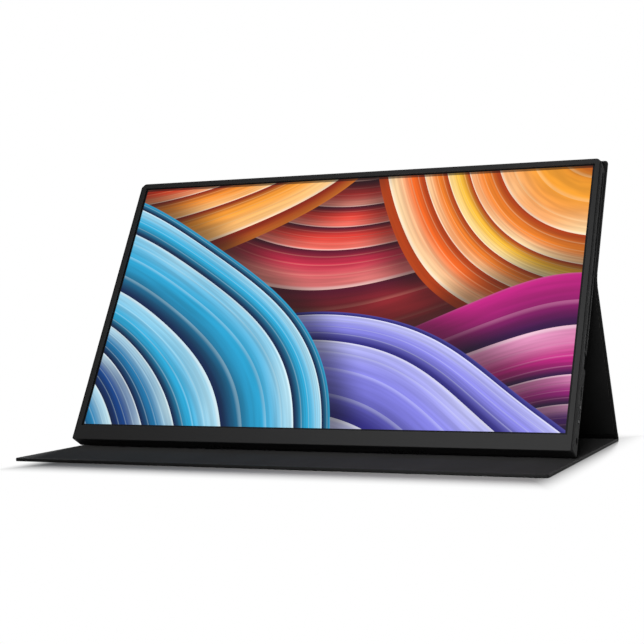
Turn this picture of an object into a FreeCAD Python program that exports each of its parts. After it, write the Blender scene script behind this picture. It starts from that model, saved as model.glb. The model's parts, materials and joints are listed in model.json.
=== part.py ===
import FreeCAD, Part
import os
import Sketcher
from FreeCAD import Vector

# Portable monitor standing on its own folio cover. Millimetres, +Z up, +X to the right of a person who
# faces the screen, -Y towards that person. The origin is on the table, under the middle of the part.
#
# The folio is three stiff panels joined by two creases. The upper panel holds the back of the display,
# the leg props it up from behind, and the floor panel lies on the table under both. Leg length counts from
# crease to crease, and the display's foot stands as far below the upper crease as the leg is long, so the
# stand is an isosceles triangle at every angle.

SIZES = (
    # Display casing
    ("screen_width", "344.2", "picture, left to right"),
    ("screen_height", "193.6", "picture, bottom to top"),
    ("bezel_side", "6.0", "picture to the casing's side"),
    ("bezel_top", "6.4", "picture to the casing's top"),
    ("chin_height", "12.0", "picture to the casing's bottom"),
    ("display_depth", "12.0", "front of the bezel to back of the housing"),
    ("display_corner", "4.0", "upper corner radius of the casing"),
    ("foot_corner", "1.2", "lower corner radius of the casing"),
    ("front_round", "0.3", "rounding of the bezel's front edge"),
    ("back_round", "0.8", "rounding of the housing's back edge"),
    ("frame_depth", "1.4", "depth of the front frame"),
    ("frame_wall", "1.0", "side wall of the front frame"),
    ("lip_thickness", "1.0", "bezel lip in front of the glass"),
    ("border_side", "1.6", "black glass seen beside the picture"),
    ("border_top", "2.6", "black glass seen above the picture"),
    ("border_foot", "1.6", "black glass seen below the picture"),
    ("housing_wall", "2.2", "side wall of the rear housing"),
    ("back_wall", "1.6", "back wall of the rear housing"),
    ("rim_width", "1.2", "housing seen beside the bezel, left and right, with the seam"),
    ("rim_step", "0.2", "that rim behind the bezel's front"),
    ("rim_round", "0.5", "rounding of the rim's front edge"),
    ("seam_width", "0.35", "seam between bezel and rim"),
    # Finger grooves in the sides
    ("groove_low", "71.0", "lower end of the side groove"),
    ("groove_end_gap", "7.0", "upper end of the groove to the casing's top"),
    ("groove_width", "3.4", "width of the side groove"),
    ("groove_depth", "0.9", "depth of the side groove"),
    # Panel stack, front to back
    ("gasket_thickness", "0.3", "foam tape behind the lip"),
    ("gasket_set_back", "0.3", "foam tape to the edge of the lip"),
    ("cell_thickness", "1.2", "liquid crystal glass"),
    ("cell_margin", "3.0", "glass past the picture, sides"),
    ("cell_foot", "4.0", "glass past the picture, bottom"),
    ("diffuser_thickness", "0.4", "diffuser sheets"),
    ("guide_thickness", "1.6", "light guide plate"),
    ("guide_margin", "1.1", "light guide past the picture"),
    ("reflector_thickness", "0.3", "reflector sheet"),
    ("chassis_wall", "0.5", "sheet metal of the panel chassis"),
    ("panel_clearance", "0.2", "play round the light guide"),
    ("strip_height", "1.6", "light strip, with its diodes"),
    ("strip_base", "0.6", "light strip, without its diodes"),
    ("diode_width", "4.0", "one diode of the light strip"),
    ("diode_inset", "11.1", "first diode to the picture's side"),
    ("diode_count", "24", "diodes in the light strip"),
    ("ribbon_span", "13.5", "driver board to main board"),
    ("driver_low", "19.0", "panel driver board, lower edge"),
    ("driver_height", "7.0", "panel driver board, short side"),
    ("driver_thickness", "0.8", "panel driver board"),
    ("ribbon_thickness", "0.25", "flat cable"),
    ("ribbon_socket", "6.0", "flat cable socket on the driver board"),
    # Boards
    ("circuit_board", "1.0", "thickness of a circuit board"),
    ("standoff_height", "0.5", "board to back wall"),
    ("standoff_radius", "2.4", "standoff under a board screw"),
    ("board_gap", "0.4", "board edge to side wall"),
    ("main_width", "67.0", "main board, left to right"),
    ("main_low", "12.7", "main board, lower edge"),
    ("main_height", "63.5", "main board, bottom to top"),
    ("side_width", "23.0", "side board, left to right"),
    ("side_low", "18.0", "side board, lower edge"),
    ("side_height", "48.0", "side board, bottom to top"),
    ("screw_inset", "4.5", "board edge to screw"),
    ("shield_side", "26.0", "shield can, square"),
    ("shield_height", "1.8", "shield can"),
    ("chip_side", "12.0", "memory and power chips, square"),
    ("chip_height", "1.2", "memory and power chips"),
    ("chip_pitch", "16.0", "chip to chip"),
    ("chip_count", "3", "chips in the row"),
    # Sockets and controls
    ("socket_height", "3.2", "socket shells on the boards"),
    ("socket_wall", "0.35", "metal of a socket shell"),
    ("socket_set_back", "0.5", "socket mouth to the casing's side"),
    ("socket_length", "7.4", "socket, mouth to back"),
    ("tongue_thickness", "0.7", "contact tongue in a socket"),
    ("port_clearance", "0.25", "casing opening round a socket or key"),
    ("usb_width", "8.9", "reversible socket, long side"),
    ("usb_place", "41.0", "reversible socket on the right, above the bottom"),
    ("usb_left_place", "30.0", "reversible socket on the left, above the bottom"),
    ("video_width", "11.2", "video socket, long side"),
    ("video_place", "26.9", "video socket, above the bottom"),
    ("video_chamfer", "1.3", "cut lower corners of the video socket"),
    ("video_proud", "0.3", "video socket's mouth past the casing's side"),
    ("jack_place", "9.4", "headphone socket, above the bottom"),
    ("jack_width", "5.6", "headphone socket body"),
    ("jack_height", "4.9", "headphone socket body"),
    ("jack_length", "12.0", "headphone socket body"),
    ("jack_radius", "1.8", "headphone plug hole"),
    ("collar_radius", "2.2", "headphone socket collar"),
    ("light_place", "53.0", "status light, above the bottom"),
    ("light_radius", "0.9", "status light"),
    ("scoop_length", "11.0", "thumb scoop round the menu rocker, along the side"),
    ("scoop_reach", "2.2", "thumb scoop in front of the rocker's middle; at the back it is open"),
    ("scoop_round", "1.5", "corner radius of the thumb scoop"),
    ("scoop_depth", "1.2", "thumb scoop round the menu rocker"),
    ("rocker_place", "64.0", "menu rocker, above the bottom"),
    ("rocker_length", "8.6", "menu rocker"),
    ("power_place", "55.0", "power key, above the bottom"),
    ("power_length", "9.0", "power key"),
    ("key_width", "3.0", "power key and menu rocker"),
    ("key_proud", "0.5", "key above the face round it"),
    ("flange_reach", "1.0", "inner flange past the key"),
    ("flange_thickness", "0.8", "inner flange of a key"),
    ("flange_gap", "0.45", "inner flange to the wall"),
    ("switch_gap", "0.6", "key to its switch"),
    ("switch_length", "4.0", "switch body, inwards"),
    ("switch_width", "8.0", "switch body, along the edge"),
    ("switch_height", "3.0", "switch body, above the board"),
    # Speakers, screws and magnets
    ("speaker_width", "40.0", "speaker, left to right"),
    ("speaker_height", "12.6", "speaker, bottom to top"),
    ("speaker_depth", "3.8", "speaker, front to back"),
    ("speaker_gap", "20.5", "speaker to main board"),
    ("speaker_corner", "3.0", "corner radius of a speaker"),
    ("slot_length", "3.4", "grille slot"),
    ("slot_width", "1.2", "grille slot"),
    ("slot_pitch", "3.2", "grille slot to slot"),
    ("slot_count", "10", "grille slots at each speaker"),
    ("boss_gap", "8.5", "screw boss to main board"),
    ("screw_radius", "0.9", "screw shank"),
    ("screw_head_radius", "1.8", "screw head"),
    ("screw_head", "0.8", "screw head, thickness"),
    ("screw_play", "0.15", "casing hole round a screw"),
    ("screw_grip", "4.0", "casing screw in its boss"),
    ("board_screw_grip", "0.9", "board screw in the standoff"),
    ("keeper_thickness", "0.8", "steel keeper plate"),
    ("magnet_length", "22.0", "magnet in the folio"),
    ("magnet_width", "9.0", "magnet in the folio"),
    ("magnet_inset", "49.2", "outermost magnet's middle to the folio's side"),
    ("magnet_count", "6", "magnets in a row"),
    ("magnet_row", "38.0", "upper magnets, below the folio's top edge"),
    ("foot_row", "2.0", "floor magnets, in front of the display's foot"),
    # Folio and stand
    ("folio_overhang", "1.2", "folio past the display, each side"),
    ("folio_top", "6.1", "folio past the display, at the top"),
    ("leather", "0.7", "outer skin"),
    ("board", "1.1", "stiffening board"),
    ("lining", "0.4", "inner cloth"),
    ("folio_corner", "2.0", "corner radius of the folio"),
    ("turned_edge", "1.8", "skin turned over the board's edge"),
    ("floor_length", "198.0", "floor panel, front edge to rear fold"),
    ("leg_length", "126.3", "leg, rear fold to upper crease"),
    ("crease_land", "5.0", "thin strip at each side of a crease"),
    ("crease_play", "0.3", "leg to the bead in a crease"),
    ("tilt", "29.0", "display from upright, degrees"),
    ("foot_gap", "1.0", "display's foot above the folio's middle plane"),
)

DOC = FreeCAD.newDocument("portable_monitor")
SHEET = DOC.addObject("Spreadsheet::Sheet", "sizes")
for row, (alias, value, note) in enumerate(SIZES, 1):
    SHEET.set(f"A{row}", note)
    SHEET.set(f"B{row}", value)
    SHEET.setAlias(f"B{row}", alias)
DOC.recompute()

# Sizes that follow from the sheet, as expressions
WIDTH = "(sizes.screen_width + 2 * sizes.bezel_side)"
HEIGHT = "(sizes.chin_height + sizes.screen_height + sizes.bezel_top)"
CELL_TOP = "(sizes.bezel_top - sizes.housing_wall - 3 * sizes.panel_clearance)"
FOLIO = "(sizes.leather + sizes.board + sizes.lining)"
FOLIO_WIDTH = f"({WIDTH} + 2 * sizes.folio_overhang)"
CREASE_HEIGHT = "(sizes.leg_length - sizes.foot_gap)"
UPPER_LENGTH = f"({HEIGHT} + sizes.folio_top - {CREASE_HEIGHT})"
SIN = "sin(sizes.tilt * 1 deg)"
COS = "cos(sizes.tilt * 1 deg)"

# Depths behind the bezel's front, as expressions
CELL_FRONT = "(sizes.lip_thickness + sizes.gasket_thickness)"
CELL_BACK = f"({CELL_FRONT} + sizes.cell_thickness)"
DIFFUSER_BACK = f"({CELL_BACK} + sizes.diffuser_thickness)"
GUIDE_BACK = f"({DIFFUSER_BACK} + sizes.guide_thickness)"
REFLECTOR_BACK = f"({GUIDE_BACK} + sizes.reflector_thickness)"
CHASSIS_BACK = f"({REFLECTOR_BACK} + sizes.chassis_wall)"
DRIVER_BACK = f"({CHASSIS_BACK} + sizes.driver_thickness)"
INNER_BACK = "(sizes.display_depth - sizes.back_wall)"
BOARD_BACK = f"({INNER_BACK} - sizes.standoff_height)"
BOARD_FRONT = f"({BOARD_BACK} - sizes.circuit_board)"
SOCKET_DEPTH = f"({BOARD_FRONT} - sizes.socket_height / 2)"
JACK_DEPTH = f"({INNER_BACK} - sizes.jack_height / 2)"

# Places across the display, from its middle, as expressions
WALL_INSIDE = f"({WIDTH} / 2 - sizes.housing_wall)"
BOARD_EDGE = f"({WALL_INSIDE} - sizes.board_gap)"
MAIN_LEFT = f"({BOARD_EDGE} - sizes.main_width)"
DRIVER_END = f"({MAIN_LEFT} - sizes.ribbon_span)"
SPEAKER_MIDDLE = f"({MAIN_LEFT} - sizes.speaker_gap - sizes.speaker_width / 2)"
BOSS_MIDDLE = f"({MAIN_LEFT} - sizes.boss_gap)"
BOSS_ROOM = "(sizes.chin_height - sizes.cell_foot - sizes.housing_wall)"
BOSS_RADIUS = f"({BOSS_ROOM} / 2 - sizes.panel_clearance)"
BOSS_HEIGHT = f"(sizes.housing_wall + {BOSS_ROOM} / 2)"
SCOOP_FLOOR = f"({WIDTH} / 2 - sizes.scoop_depth)"
DIODE_ROW = "(sizes.screen_width - 2 * sizes.diode_inset)"
MAGNET_ROW = f"({FOLIO_WIDTH} - 2 * sizes.magnet_inset)"
RIGHT, LEFT = 1, -1

# Each group of pieces stands in the part's frame by a shift and a turn about X. In the display and in each
# panel, x is to the right, y runs up the panel and z comes out of its inner face.
REAR_Y = f"((sizes.floor_length - {FOLIO} / 2) / 2)"
FOOT_Y = f"({REAR_Y} - 2 * sizes.leg_length * {SIN})"
FOOT_DEPTH = f"(sizes.display_depth + {FOLIO} / 2)"
CREASE_Y = f"({REAR_Y} - sizes.leg_length * {SIN})"
CREASE_Z = f"({FOLIO} / 2 + sizes.leg_length * {COS})"
GROUPS = {
    "floor": (REAR_Y, "0", "0"),
    "leg": (
        f"{REAR_Y} + {FOLIO} / 2 * {COS}",
        f"{FOLIO} / 2 + {FOLIO} / 2 * {SIN}",
        "90 + sizes.tilt",
    ),
    "upper": (
        f"{CREASE_Y} + {FOLIO} / 2 * {COS}",
        f"{CREASE_Z} - {FOLIO} / 2 * {SIN}",
        "90 - sizes.tilt",
    ),
    "display": (
        f"{FOOT_Y} + sizes.foot_gap * {SIN} - {FOOT_DEPTH} * {COS}",
        f"{FOLIO} / 2 + sizes.foot_gap * {COS} + {FOOT_DEPTH} * {SIN}",
        "90 - sizes.tilt",
    ),
}

PIECES = []


def number(expression):
    """Value of an expression over the sheet."""
    return float(SHEET.evalExpression(expression))


def new_piece(name, group="display"):
    """Empty body, standing where its group stands."""
    body = DOC.addObject("PartDesign::Body", name)
    body.Label = name
    shift_y, shift_z, turn = GROUPS[group]
    body.Placement = FreeCAD.Placement(Vector(), FreeCAD.Rotation(Vector(1, 0, 0), 1))
    body.setExpression("Placement.Base.y", shift_y)
    body.setExpression("Placement.Base.z", shift_z)
    body.setExpression("Placement.Rotation.Angle", turn)
    PIECES.append(body)
    return body


def new_sketch(body, plane_role, offset):
    """Sketch on one of the body's own planes, moved along that plane's normal."""
    sketch = body.newObject("Sketcher::SketchObject", "outline")
    plane = next(item for item in body.Origin.OriginFeatures if item.Role == plane_role)
    sketch.AttachmentSupport = (plane, [""])
    sketch.MapMode = "FlatFace"
    sketch.setExpression("AttachmentOffset.Base.z", offset)
    return sketch


def face_sketch(body, depth):
    """Sketch parallel to the screen, some way behind the group's zero face."""
    return new_sketch(body, "XY_Plane", f"-({depth})")


def side_sketch(body, side, distance):
    """Sketch seen from the right, across the display at a distance from its middle."""
    return new_sketch(body, "YZ_Plane", f"{side} * ({distance})")


def bind(sketch, kind, points, expression):
    """Dimension in a sketch that follows the sheet."""
    index = sketch.addConstraint(Sketcher.Constraint(kind, *points, number(expression)))
    sketch.setExpression(f"Constraints[{index}]", expression)


def join_ends(sketch, first, count, kind):
    """Ties each of a run of edges to the next one and the last to the first."""
    for step in range(count):
        following = first + (step + 1) % count
        sketch.addConstraint(Sketcher.Constraint(kind, first + step, 2, following, 1))


def square_up(sketch, first, spacing):
    """Bottom and top edges level, right and left edges upright."""
    for step in range(4):
        kind = "Horizontal" if step % 2 == 0 else "Vertical"
        sketch.addConstraint(Sketcher.Constraint(kind, first + step * spacing))


def rectangle(sketch, left, low, wide, high):
    """Rectangle from its lower left corner."""
    first = sketch.GeometryCount
    x, y = number(left), number(low)
    x_end, y_end = x + number(wide), y + number(high)
    corners = [Vector(x, y, 0), Vector(x_end, y, 0), Vector(x_end, y_end, 0), Vector(x, y_end, 0)]
    for step in range(4):
        sketch.addGeometry(Part.LineSegment(corners[step], corners[(step + 1) % 4]), False)
    join_ends(sketch, first, 4, "Coincident")
    square_up(sketch, first, 1)
    bind(sketch, "DistanceX", (-1, 1, first, 1), left)
    bind(sketch, "DistanceY", (-1, 1, first, 1), low)
    bind(sketch, "DistanceX", (first, 1, first, 2), wide)
    bind(sketch, "DistanceY", (first + 1, 1, first + 1, 2), high)


def middle_rectangle(sketch, low, wide, high):
    """Rectangle that is centred from left to right."""
    rectangle(sketch, f"-({wide}) / 2", low, wide, high)


def corner_arc(x, y, radius, quarter):
    """Quarter circle that starts at the given quarter turn."""
    quarter_turn = FreeCAD.Units.Quantity("90 deg").getValueAs("rad").Value
    circle = Part.Circle(Vector(x, y, 0), Vector(0, 0, 1), radius)
    return Part.ArcOfCircle(circle, quarter * quarter_turn, (quarter + 1) * quarter_turn)


def rounded_rectangle(sketch, left, low, wide, high, radius, foot_radius=None):
    """Rectangle from its lower left corner, with round corners. The lower two may have their own radius."""
    foot_radius = foot_radius or radius
    first = sketch.GeometryCount
    x, y, r, foot = number(left), number(low), number(radius), number(foot_radius)
    x_end, y_end = x + number(wide), y + number(high)
    edges = [
        Part.LineSegment(Vector(x + foot, y, 0), Vector(x_end - foot, y, 0)),
        corner_arc(x_end - foot, y + foot, foot, 3),
        Part.LineSegment(Vector(x_end, y + foot, 0), Vector(x_end, y_end - r, 0)),
        corner_arc(x_end - r, y_end - r, r, 0),
        Part.LineSegment(Vector(x_end - r, y_end, 0), Vector(x + r, y_end, 0)),
        corner_arc(x + r, y_end - r, r, 1),
        Part.LineSegment(Vector(x, y_end - r, 0), Vector(x, y + foot, 0)),
        corner_arc(x + foot, y + foot, foot, 2),
    ]
    sketch.addGeometry(edges, False)
    join_ends(sketch, first, 8, "Tangent")
    square_up(sketch, first, 2)
    for one, other, size in ((1, 7, foot_radius), (3, 5, radius)):
        sketch.addConstraint(Sketcher.Constraint("Equal", first + one, first + other))
        bind(sketch, "Radius", (first + one,), size)
    bind(sketch, "DistanceX", (-1, 1, first + 6, 1), left)
    bind(sketch, "DistanceY", (-1, 1, first, 1), low)
    bind(sketch, "DistanceX", (first + 6, 2, first + 2, 1), wide)
    bind(sketch, "DistanceY", (first, 2, first + 4, 1), high)


def round_slot(sketch, x, y, length, width):
    """Slot with round ends, along the sketch's first axis, from its middle."""
    first = sketch.GeometryCount
    mid_x, mid_y, r = number(x), number(y), number(width) / 2
    reach = number(length) / 2 - r
    half_turn = FreeCAD.Units.Quantity("180 deg").getValueAs("rad").Value
    right = Part.Circle(Vector(mid_x + reach, mid_y, 0), Vector(0, 0, 1), r)
    left = Part.Circle(Vector(mid_x - reach, mid_y, 0), Vector(0, 0, 1), r)
    edges = [
        Part.LineSegment(Vector(mid_x - reach, mid_y - r, 0), Vector(mid_x + reach, mid_y - r, 0)),
        Part.ArcOfCircle(right, -half_turn / 2, half_turn / 2),
        Part.LineSegment(Vector(mid_x + reach, mid_y + r, 0), Vector(mid_x - reach, mid_y + r, 0)),
        Part.ArcOfCircle(left, half_turn / 2, 3 * half_turn / 2),
    ]
    sketch.addGeometry(edges, False)
    join_ends(sketch, first, 4, "Tangent")
    sketch.addConstraint(Sketcher.Constraint("Horizontal", first))
    bind(sketch, "Radius", (first + 1,), f"({width}) / 2")
    bind(sketch, "DistanceX", (-1, 1, first + 1, 3), f"({x}) + (({length}) - ({width})) / 2")
    bind(sketch, "DistanceX", (-1, 1, first + 3, 3), f"({x}) - (({length}) - ({width})) / 2")
    bind(sketch, "DistanceY", (-1, 1, first + 1, 3), y)


def circle(sketch, x, y, radius):
    """Circle from its centre."""
    centre = Vector(number(x), number(y), 0)
    index = sketch.addGeometry(Part.Circle(centre, Vector(0, 0, 1), number(radius)), False)
    bind(sketch, "DistanceX", (-1, 1, index, 3), x)
    bind(sketch, "DistanceY", (-1, 1, index, 3), y)
    bind(sketch, "Radius", (index,), radius)


def ribbon_profile(sketch, points):
    """Flat cable seen from its edge: level runs joined by slopes, given by its lower corners."""
    first = sketch.GeometryCount
    upper = [(x, f"({y}) + sizes.ribbon_thickness") for x, y in reversed(points)]
    loop = points + upper
    corners = [Vector(number(x), number(y), 0) for x, y in loop]
    for step, corner in enumerate(corners):
        sketch.addGeometry(Part.LineSegment(corner, corners[(step + 1) % len(corners)]), False)
    join_ends(sketch, first, len(corners), "Coincident")
    for step, (x, y) in enumerate(loop):
        bind(sketch, "DistanceX", (-1, 1, first + step, 1), x)
        bind(sketch, "DistanceY", (-1, 1, first + step, 1), y)


def pad(body, sketch, length, backwards=False, both_ways=False):
    """Solid from a sketch, along its normal or against it."""
    feature = body.newObject("PartDesign::Pad", "pad")
    feature.Profile = sketch
    feature.setExpression("Length", length)
    feature.Reversed = backwards
    if both_ways:
        feature.SideType = "Symmetric"
    return feature


def pocket(body, sketch, depth, along=False):
    """Cut from a sketch, against its normal or along it."""
    feature = body.newObject("PartDesign::Pocket", "pocket")
    feature.Profile = sketch
    feature.setExpression("Length", depth)
    feature.Reversed = along
    return feature


def repeat(body, feature, sketch, axis, length, count):
    """Row of copies of a feature, along an axis of its sketch."""
    pattern = body.newObject("PartDesign::LinearPattern", "row")
    pattern.Originals = [feature]
    pattern.Direction = (sketch, [axis])
    pattern.setExpression("Length", length)
    pattern.setExpression("Occurrences", count)
    body.Tip = pattern
    return pattern


def dress_edges(body, kind, size_name, size, wanted):
    """Rounds or cuts the edges of the body's newest feature that a test picks."""
    DOC.recompute()
    base = body.Tip
    names = [f"Edge{index}" for index, edge in enumerate(base.Shape.Edges, 1) if wanted(edge)]
    feature = body.newObject(kind, "edge_finish")
    feature.Base = (base, names)
    feature.setExpression(size_name, size)
    return feature


def at_level(edge, level):
    """True for an edge that lies flat at a height of its body."""
    box = edge.BoundBox
    return abs(box.ZMin - level) < 1e-4 and abs(box.ZMax - level) < 1e-4


def plate(name, low, wide, high, front, thickness, group="display"):
    """Plain sheet, centred from left to right, behind a given depth."""
    body = new_piece(name, group)
    sketch = face_sketch(body, f"{front} + {thickness}")
    middle_rectangle(sketch, low, wide, high)
    pad(body, sketch, thickness)
    return body


def casing_outline(sketch, inset, foot_radius):
    """The casing's outline, or a line set in from it all round."""
    rounded_rectangle(
        sketch,
        f"-{WIDTH} / 2 + {inset}",
        inset,
        f"{WIDTH} - 2 * {inset}",
        f"{HEIGHT} - 2 * {inset}",
        f"sizes.display_corner - {inset}",
        foot_radius,
    )


def screw_places():
    """Boss centres behind the chin, between wall and glass, as (x, y) expressions."""
    return [(f"{side} * {BOSS_MIDDLE}", BOSS_HEIGHT) for side in (RIGHT, LEFT)]


def board_corners(side):
    """Left edge, lower edge, width and height of the main or the side board, as expressions."""
    if side == RIGHT:
        return MAIN_LEFT, "sizes.main_low", "sizes.main_width", "sizes.main_height"
    return f"-{BOARD_EDGE}", "sizes.side_low", "sizes.side_width", "sizes.side_height"


def board_screw_places():
    """Screw centres of the main board: both left corners and the upper right one."""
    left, low, wide, high = board_corners(RIGHT)
    near_x, far_x = f"{left} + sizes.screw_inset", f"{left} + {wide} - sizes.screw_inset"
    near_y, far_y = f"{low} + sizes.screw_inset", f"{low} + {high} - sizes.screw_inset"
    return [(near_x, near_y), (near_x, far_y), (far_x, far_y)]


def make_front_frame():
    """Bezel with a lip over the glass, side walls and screw bosses behind the chin."""
    body = new_piece("front_frame")
    outline = face_sketch(body, "sizes.frame_depth")
    rounded_rectangle(
        outline,
        f"-{WIDTH} / 2 + sizes.rim_width",
        "0",
        f"{WIDTH} - 2 * sizes.rim_width",
        HEIGHT,
        "sizes.display_corner - sizes.rim_width",
        "sizes.foot_corner / 2",
    )
    pad(body, outline, "sizes.frame_depth")
    dress_edges(body, "PartDesign::Fillet", "Radius", "sizes.front_round", lambda edge: at_level(edge, 0))
    window = face_sketch(body, "0")
    middle_rectangle(
        window,
        "sizes.chin_height - sizes.border_foot",
        "sizes.screen_width + 2 * sizes.border_side",
        "sizes.screen_height + sizes.border_foot + sizes.border_top",
    )
    pocket(body, window, "sizes.frame_depth")
    bed = face_sketch(body, "sizes.frame_depth")
    casing_outline(bed, "(sizes.rim_width + sizes.frame_wall)", "sizes.foot_corner / 2")
    pocket(body, bed, "sizes.frame_depth - sizes.lip_thickness", along=True)
    bosses = face_sketch(body, "sizes.lip_thickness")
    pilots = face_sketch(body, INNER_BACK)
    for x, y in screw_places():
        circle(bosses, x, y, BOSS_RADIUS)
        circle(pilots, x, y, "sizes.screw_radius")
    pad(body, bosses, f"{INNER_BACK} - sizes.lip_thickness", backwards=True)
    pocket(body, pilots, "sizes.screw_grip", along=True)


def make_panel_gasket():
    """Foam tape between the lip and the glass."""
    body = new_piece("panel_gasket")
    sketch = face_sketch(body, CELL_FRONT)
    low = "sizes.chin_height - sizes.cell_foot"
    high = f"sizes.screen_height + sizes.cell_foot + {CELL_TOP}"
    middle_rectangle(sketch, low, "sizes.screen_width + 2 * sizes.cell_margin", high)
    back = "2 * sizes.gasket_set_back"
    middle_rectangle(
        sketch,
        "sizes.chin_height - sizes.border_foot - sizes.gasket_set_back",
        f"sizes.screen_width + 2 * sizes.border_side + {back}",
        f"sizes.screen_height + sizes.border_foot + sizes.border_top + {back}",
    )
    pad(body, sketch, "sizes.gasket_thickness")


def make_panel_sheets():
    """Liquid crystal glass, and the sheets of the back light behind it."""
    plate(
        "lcd_glass",
        "sizes.chin_height - sizes.cell_foot",
        "sizes.screen_width + 2 * sizes.cell_margin",
        f"sizes.screen_height + sizes.cell_foot + {CELL_TOP}",
        CELL_FRONT,
        "sizes.cell_thickness",
    )
    sheets = (
        ("diffuser_sheet", CELL_BACK, "sizes.diffuser_thickness"),
        ("light_guide", DIFFUSER_BACK, "sizes.guide_thickness"),
        ("reflector_sheet", GUIDE_BACK, "sizes.reflector_thickness"),
    )
    for name, front, thickness in sheets:
        plate(
            name,
            "sizes.chin_height - sizes.guide_margin",
            "sizes.screen_width + 2 * sizes.guide_margin",
            "sizes.screen_height + 2 * sizes.guide_margin",
            front,
            thickness,
        )


def make_light_strip():
    """Row of diodes along the light guide's lower edge."""
    body = new_piece("light_strip")
    top = "sizes.chin_height - sizes.guide_margin - sizes.panel_clearance"
    base = face_sketch(body, GUIDE_BACK)
    middle_rectangle(
        base,
        f"{top} - sizes.strip_height",
        f"{DIODE_ROW} + 2 * sizes.diode_width",
        "sizes.strip_base",
    )
    pad(body, base, "sizes.guide_thickness")
    diode = face_sketch(body, GUIDE_BACK)
    rectangle(
        diode,
        f"-{DIODE_ROW} / 2 - sizes.diode_width / 2",
        f"{top} - sizes.strip_height + sizes.strip_base",
        "sizes.diode_width",
        "sizes.strip_height - sizes.strip_base",
    )
    block = pad(body, diode, "sizes.guide_thickness")
    repeat(body, block, diode, "H_Axis", DIODE_ROW, "sizes.diode_count")


def make_panel_chassis():
    """Sheet metal pan that holds the back light."""
    body = new_piece("panel_chassis")
    strip = "(sizes.strip_height + sizes.panel_clearance)"
    room = "(sizes.guide_margin + sizes.panel_clearance)"
    outline = face_sketch(body, CHASSIS_BACK)
    middle_rectangle(
        outline,
        f"sizes.chin_height - {room} - {strip} - sizes.chassis_wall",
        f"sizes.screen_width + 2 * {room} + 2 * sizes.chassis_wall",
        f"sizes.screen_height + 2 * {room} + {strip} + 2 * sizes.chassis_wall",
    )
    pad(body, outline, f"{CHASSIS_BACK} - {CELL_BACK}")
    inside = face_sketch(body, CELL_BACK)
    middle_rectangle(
        inside,
        f"sizes.chin_height - {room} - {strip}",
        f"sizes.screen_width + 2 * {room}",
        f"sizes.screen_height + 2 * {room} + {strip}",
    )
    pocket(body, inside, f"{REFLECTOR_BACK} - {CELL_BACK}")


def make_driver_board():
    """Long board on the back of the chassis, with a socket for the display ribbon at its right end."""
    body = new_piece("panel_driver_board")
    base = face_sketch(body, DRIVER_BACK)
    middle_rectangle(base, "sizes.driver_low", f"2 * {DRIVER_END}", "sizes.driver_height")
    pad(body, base, "sizes.driver_thickness")
    socket = face_sketch(body, DRIVER_BACK)
    rectangle(
        socket,
        f"{DRIVER_END} - sizes.ribbon_socket",
        "sizes.driver_low",
        "sizes.ribbon_socket",
        "sizes.driver_height",
    )
    pad(body, socket, "sizes.driver_thickness", backwards=True)


def make_display_ribbon():
    """Short flat cable from the driver board's socket to the edge of the main board."""
    body = new_piece("display_ribbon")
    level = f"-({DRIVER_BACK} + sizes.driver_thickness / 2)"
    landing = f"-{BOARD_FRONT}"
    third = "sizes.ribbon_span / 3"
    profile = new_sketch(body, "XZ_Plane", "-sizes.driver_low")
    points = [
        (DRIVER_END, level),
        (f"{DRIVER_END} + {third}", level),
        (f"{DRIVER_END} + 2 * {third}", landing),
        (f"{MAIN_LEFT} + sizes.ribbon_socket", landing),
    ]
    ribbon_profile(profile, points)
    pad(body, profile, "sizes.driver_height", backwards=True)


def make_side_ribbon():
    """Long flat cable along the back wall, from the side board to the main board."""
    body = new_piece("side_ribbon")
    side_left, side_low, side_wide, side_high = board_corners(LEFT)
    side_right = f"({side_left} + {side_wide})"
    floor = f"-{INNER_BACK}"
    top = f"-{BOARD_FRONT}"
    width = "sizes.driver_height"
    profile = new_sketch(body, "XZ_Plane", f"-({side_low} + {side_high} / 2)")
    points = [
        (f"{side_right} - {width}", top),
        (f"{side_right} + {width} / 4", top),
        (f"{side_right} + {width}", floor),
        (f"{MAIN_LEFT} - {width}", floor),
        (f"{MAIN_LEFT} - {width} / 4", top),
        (f"{MAIN_LEFT} + {width}", top),
    ]
    ribbon_profile(profile, points)
    pad(body, profile, width, backwards=True)


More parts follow.
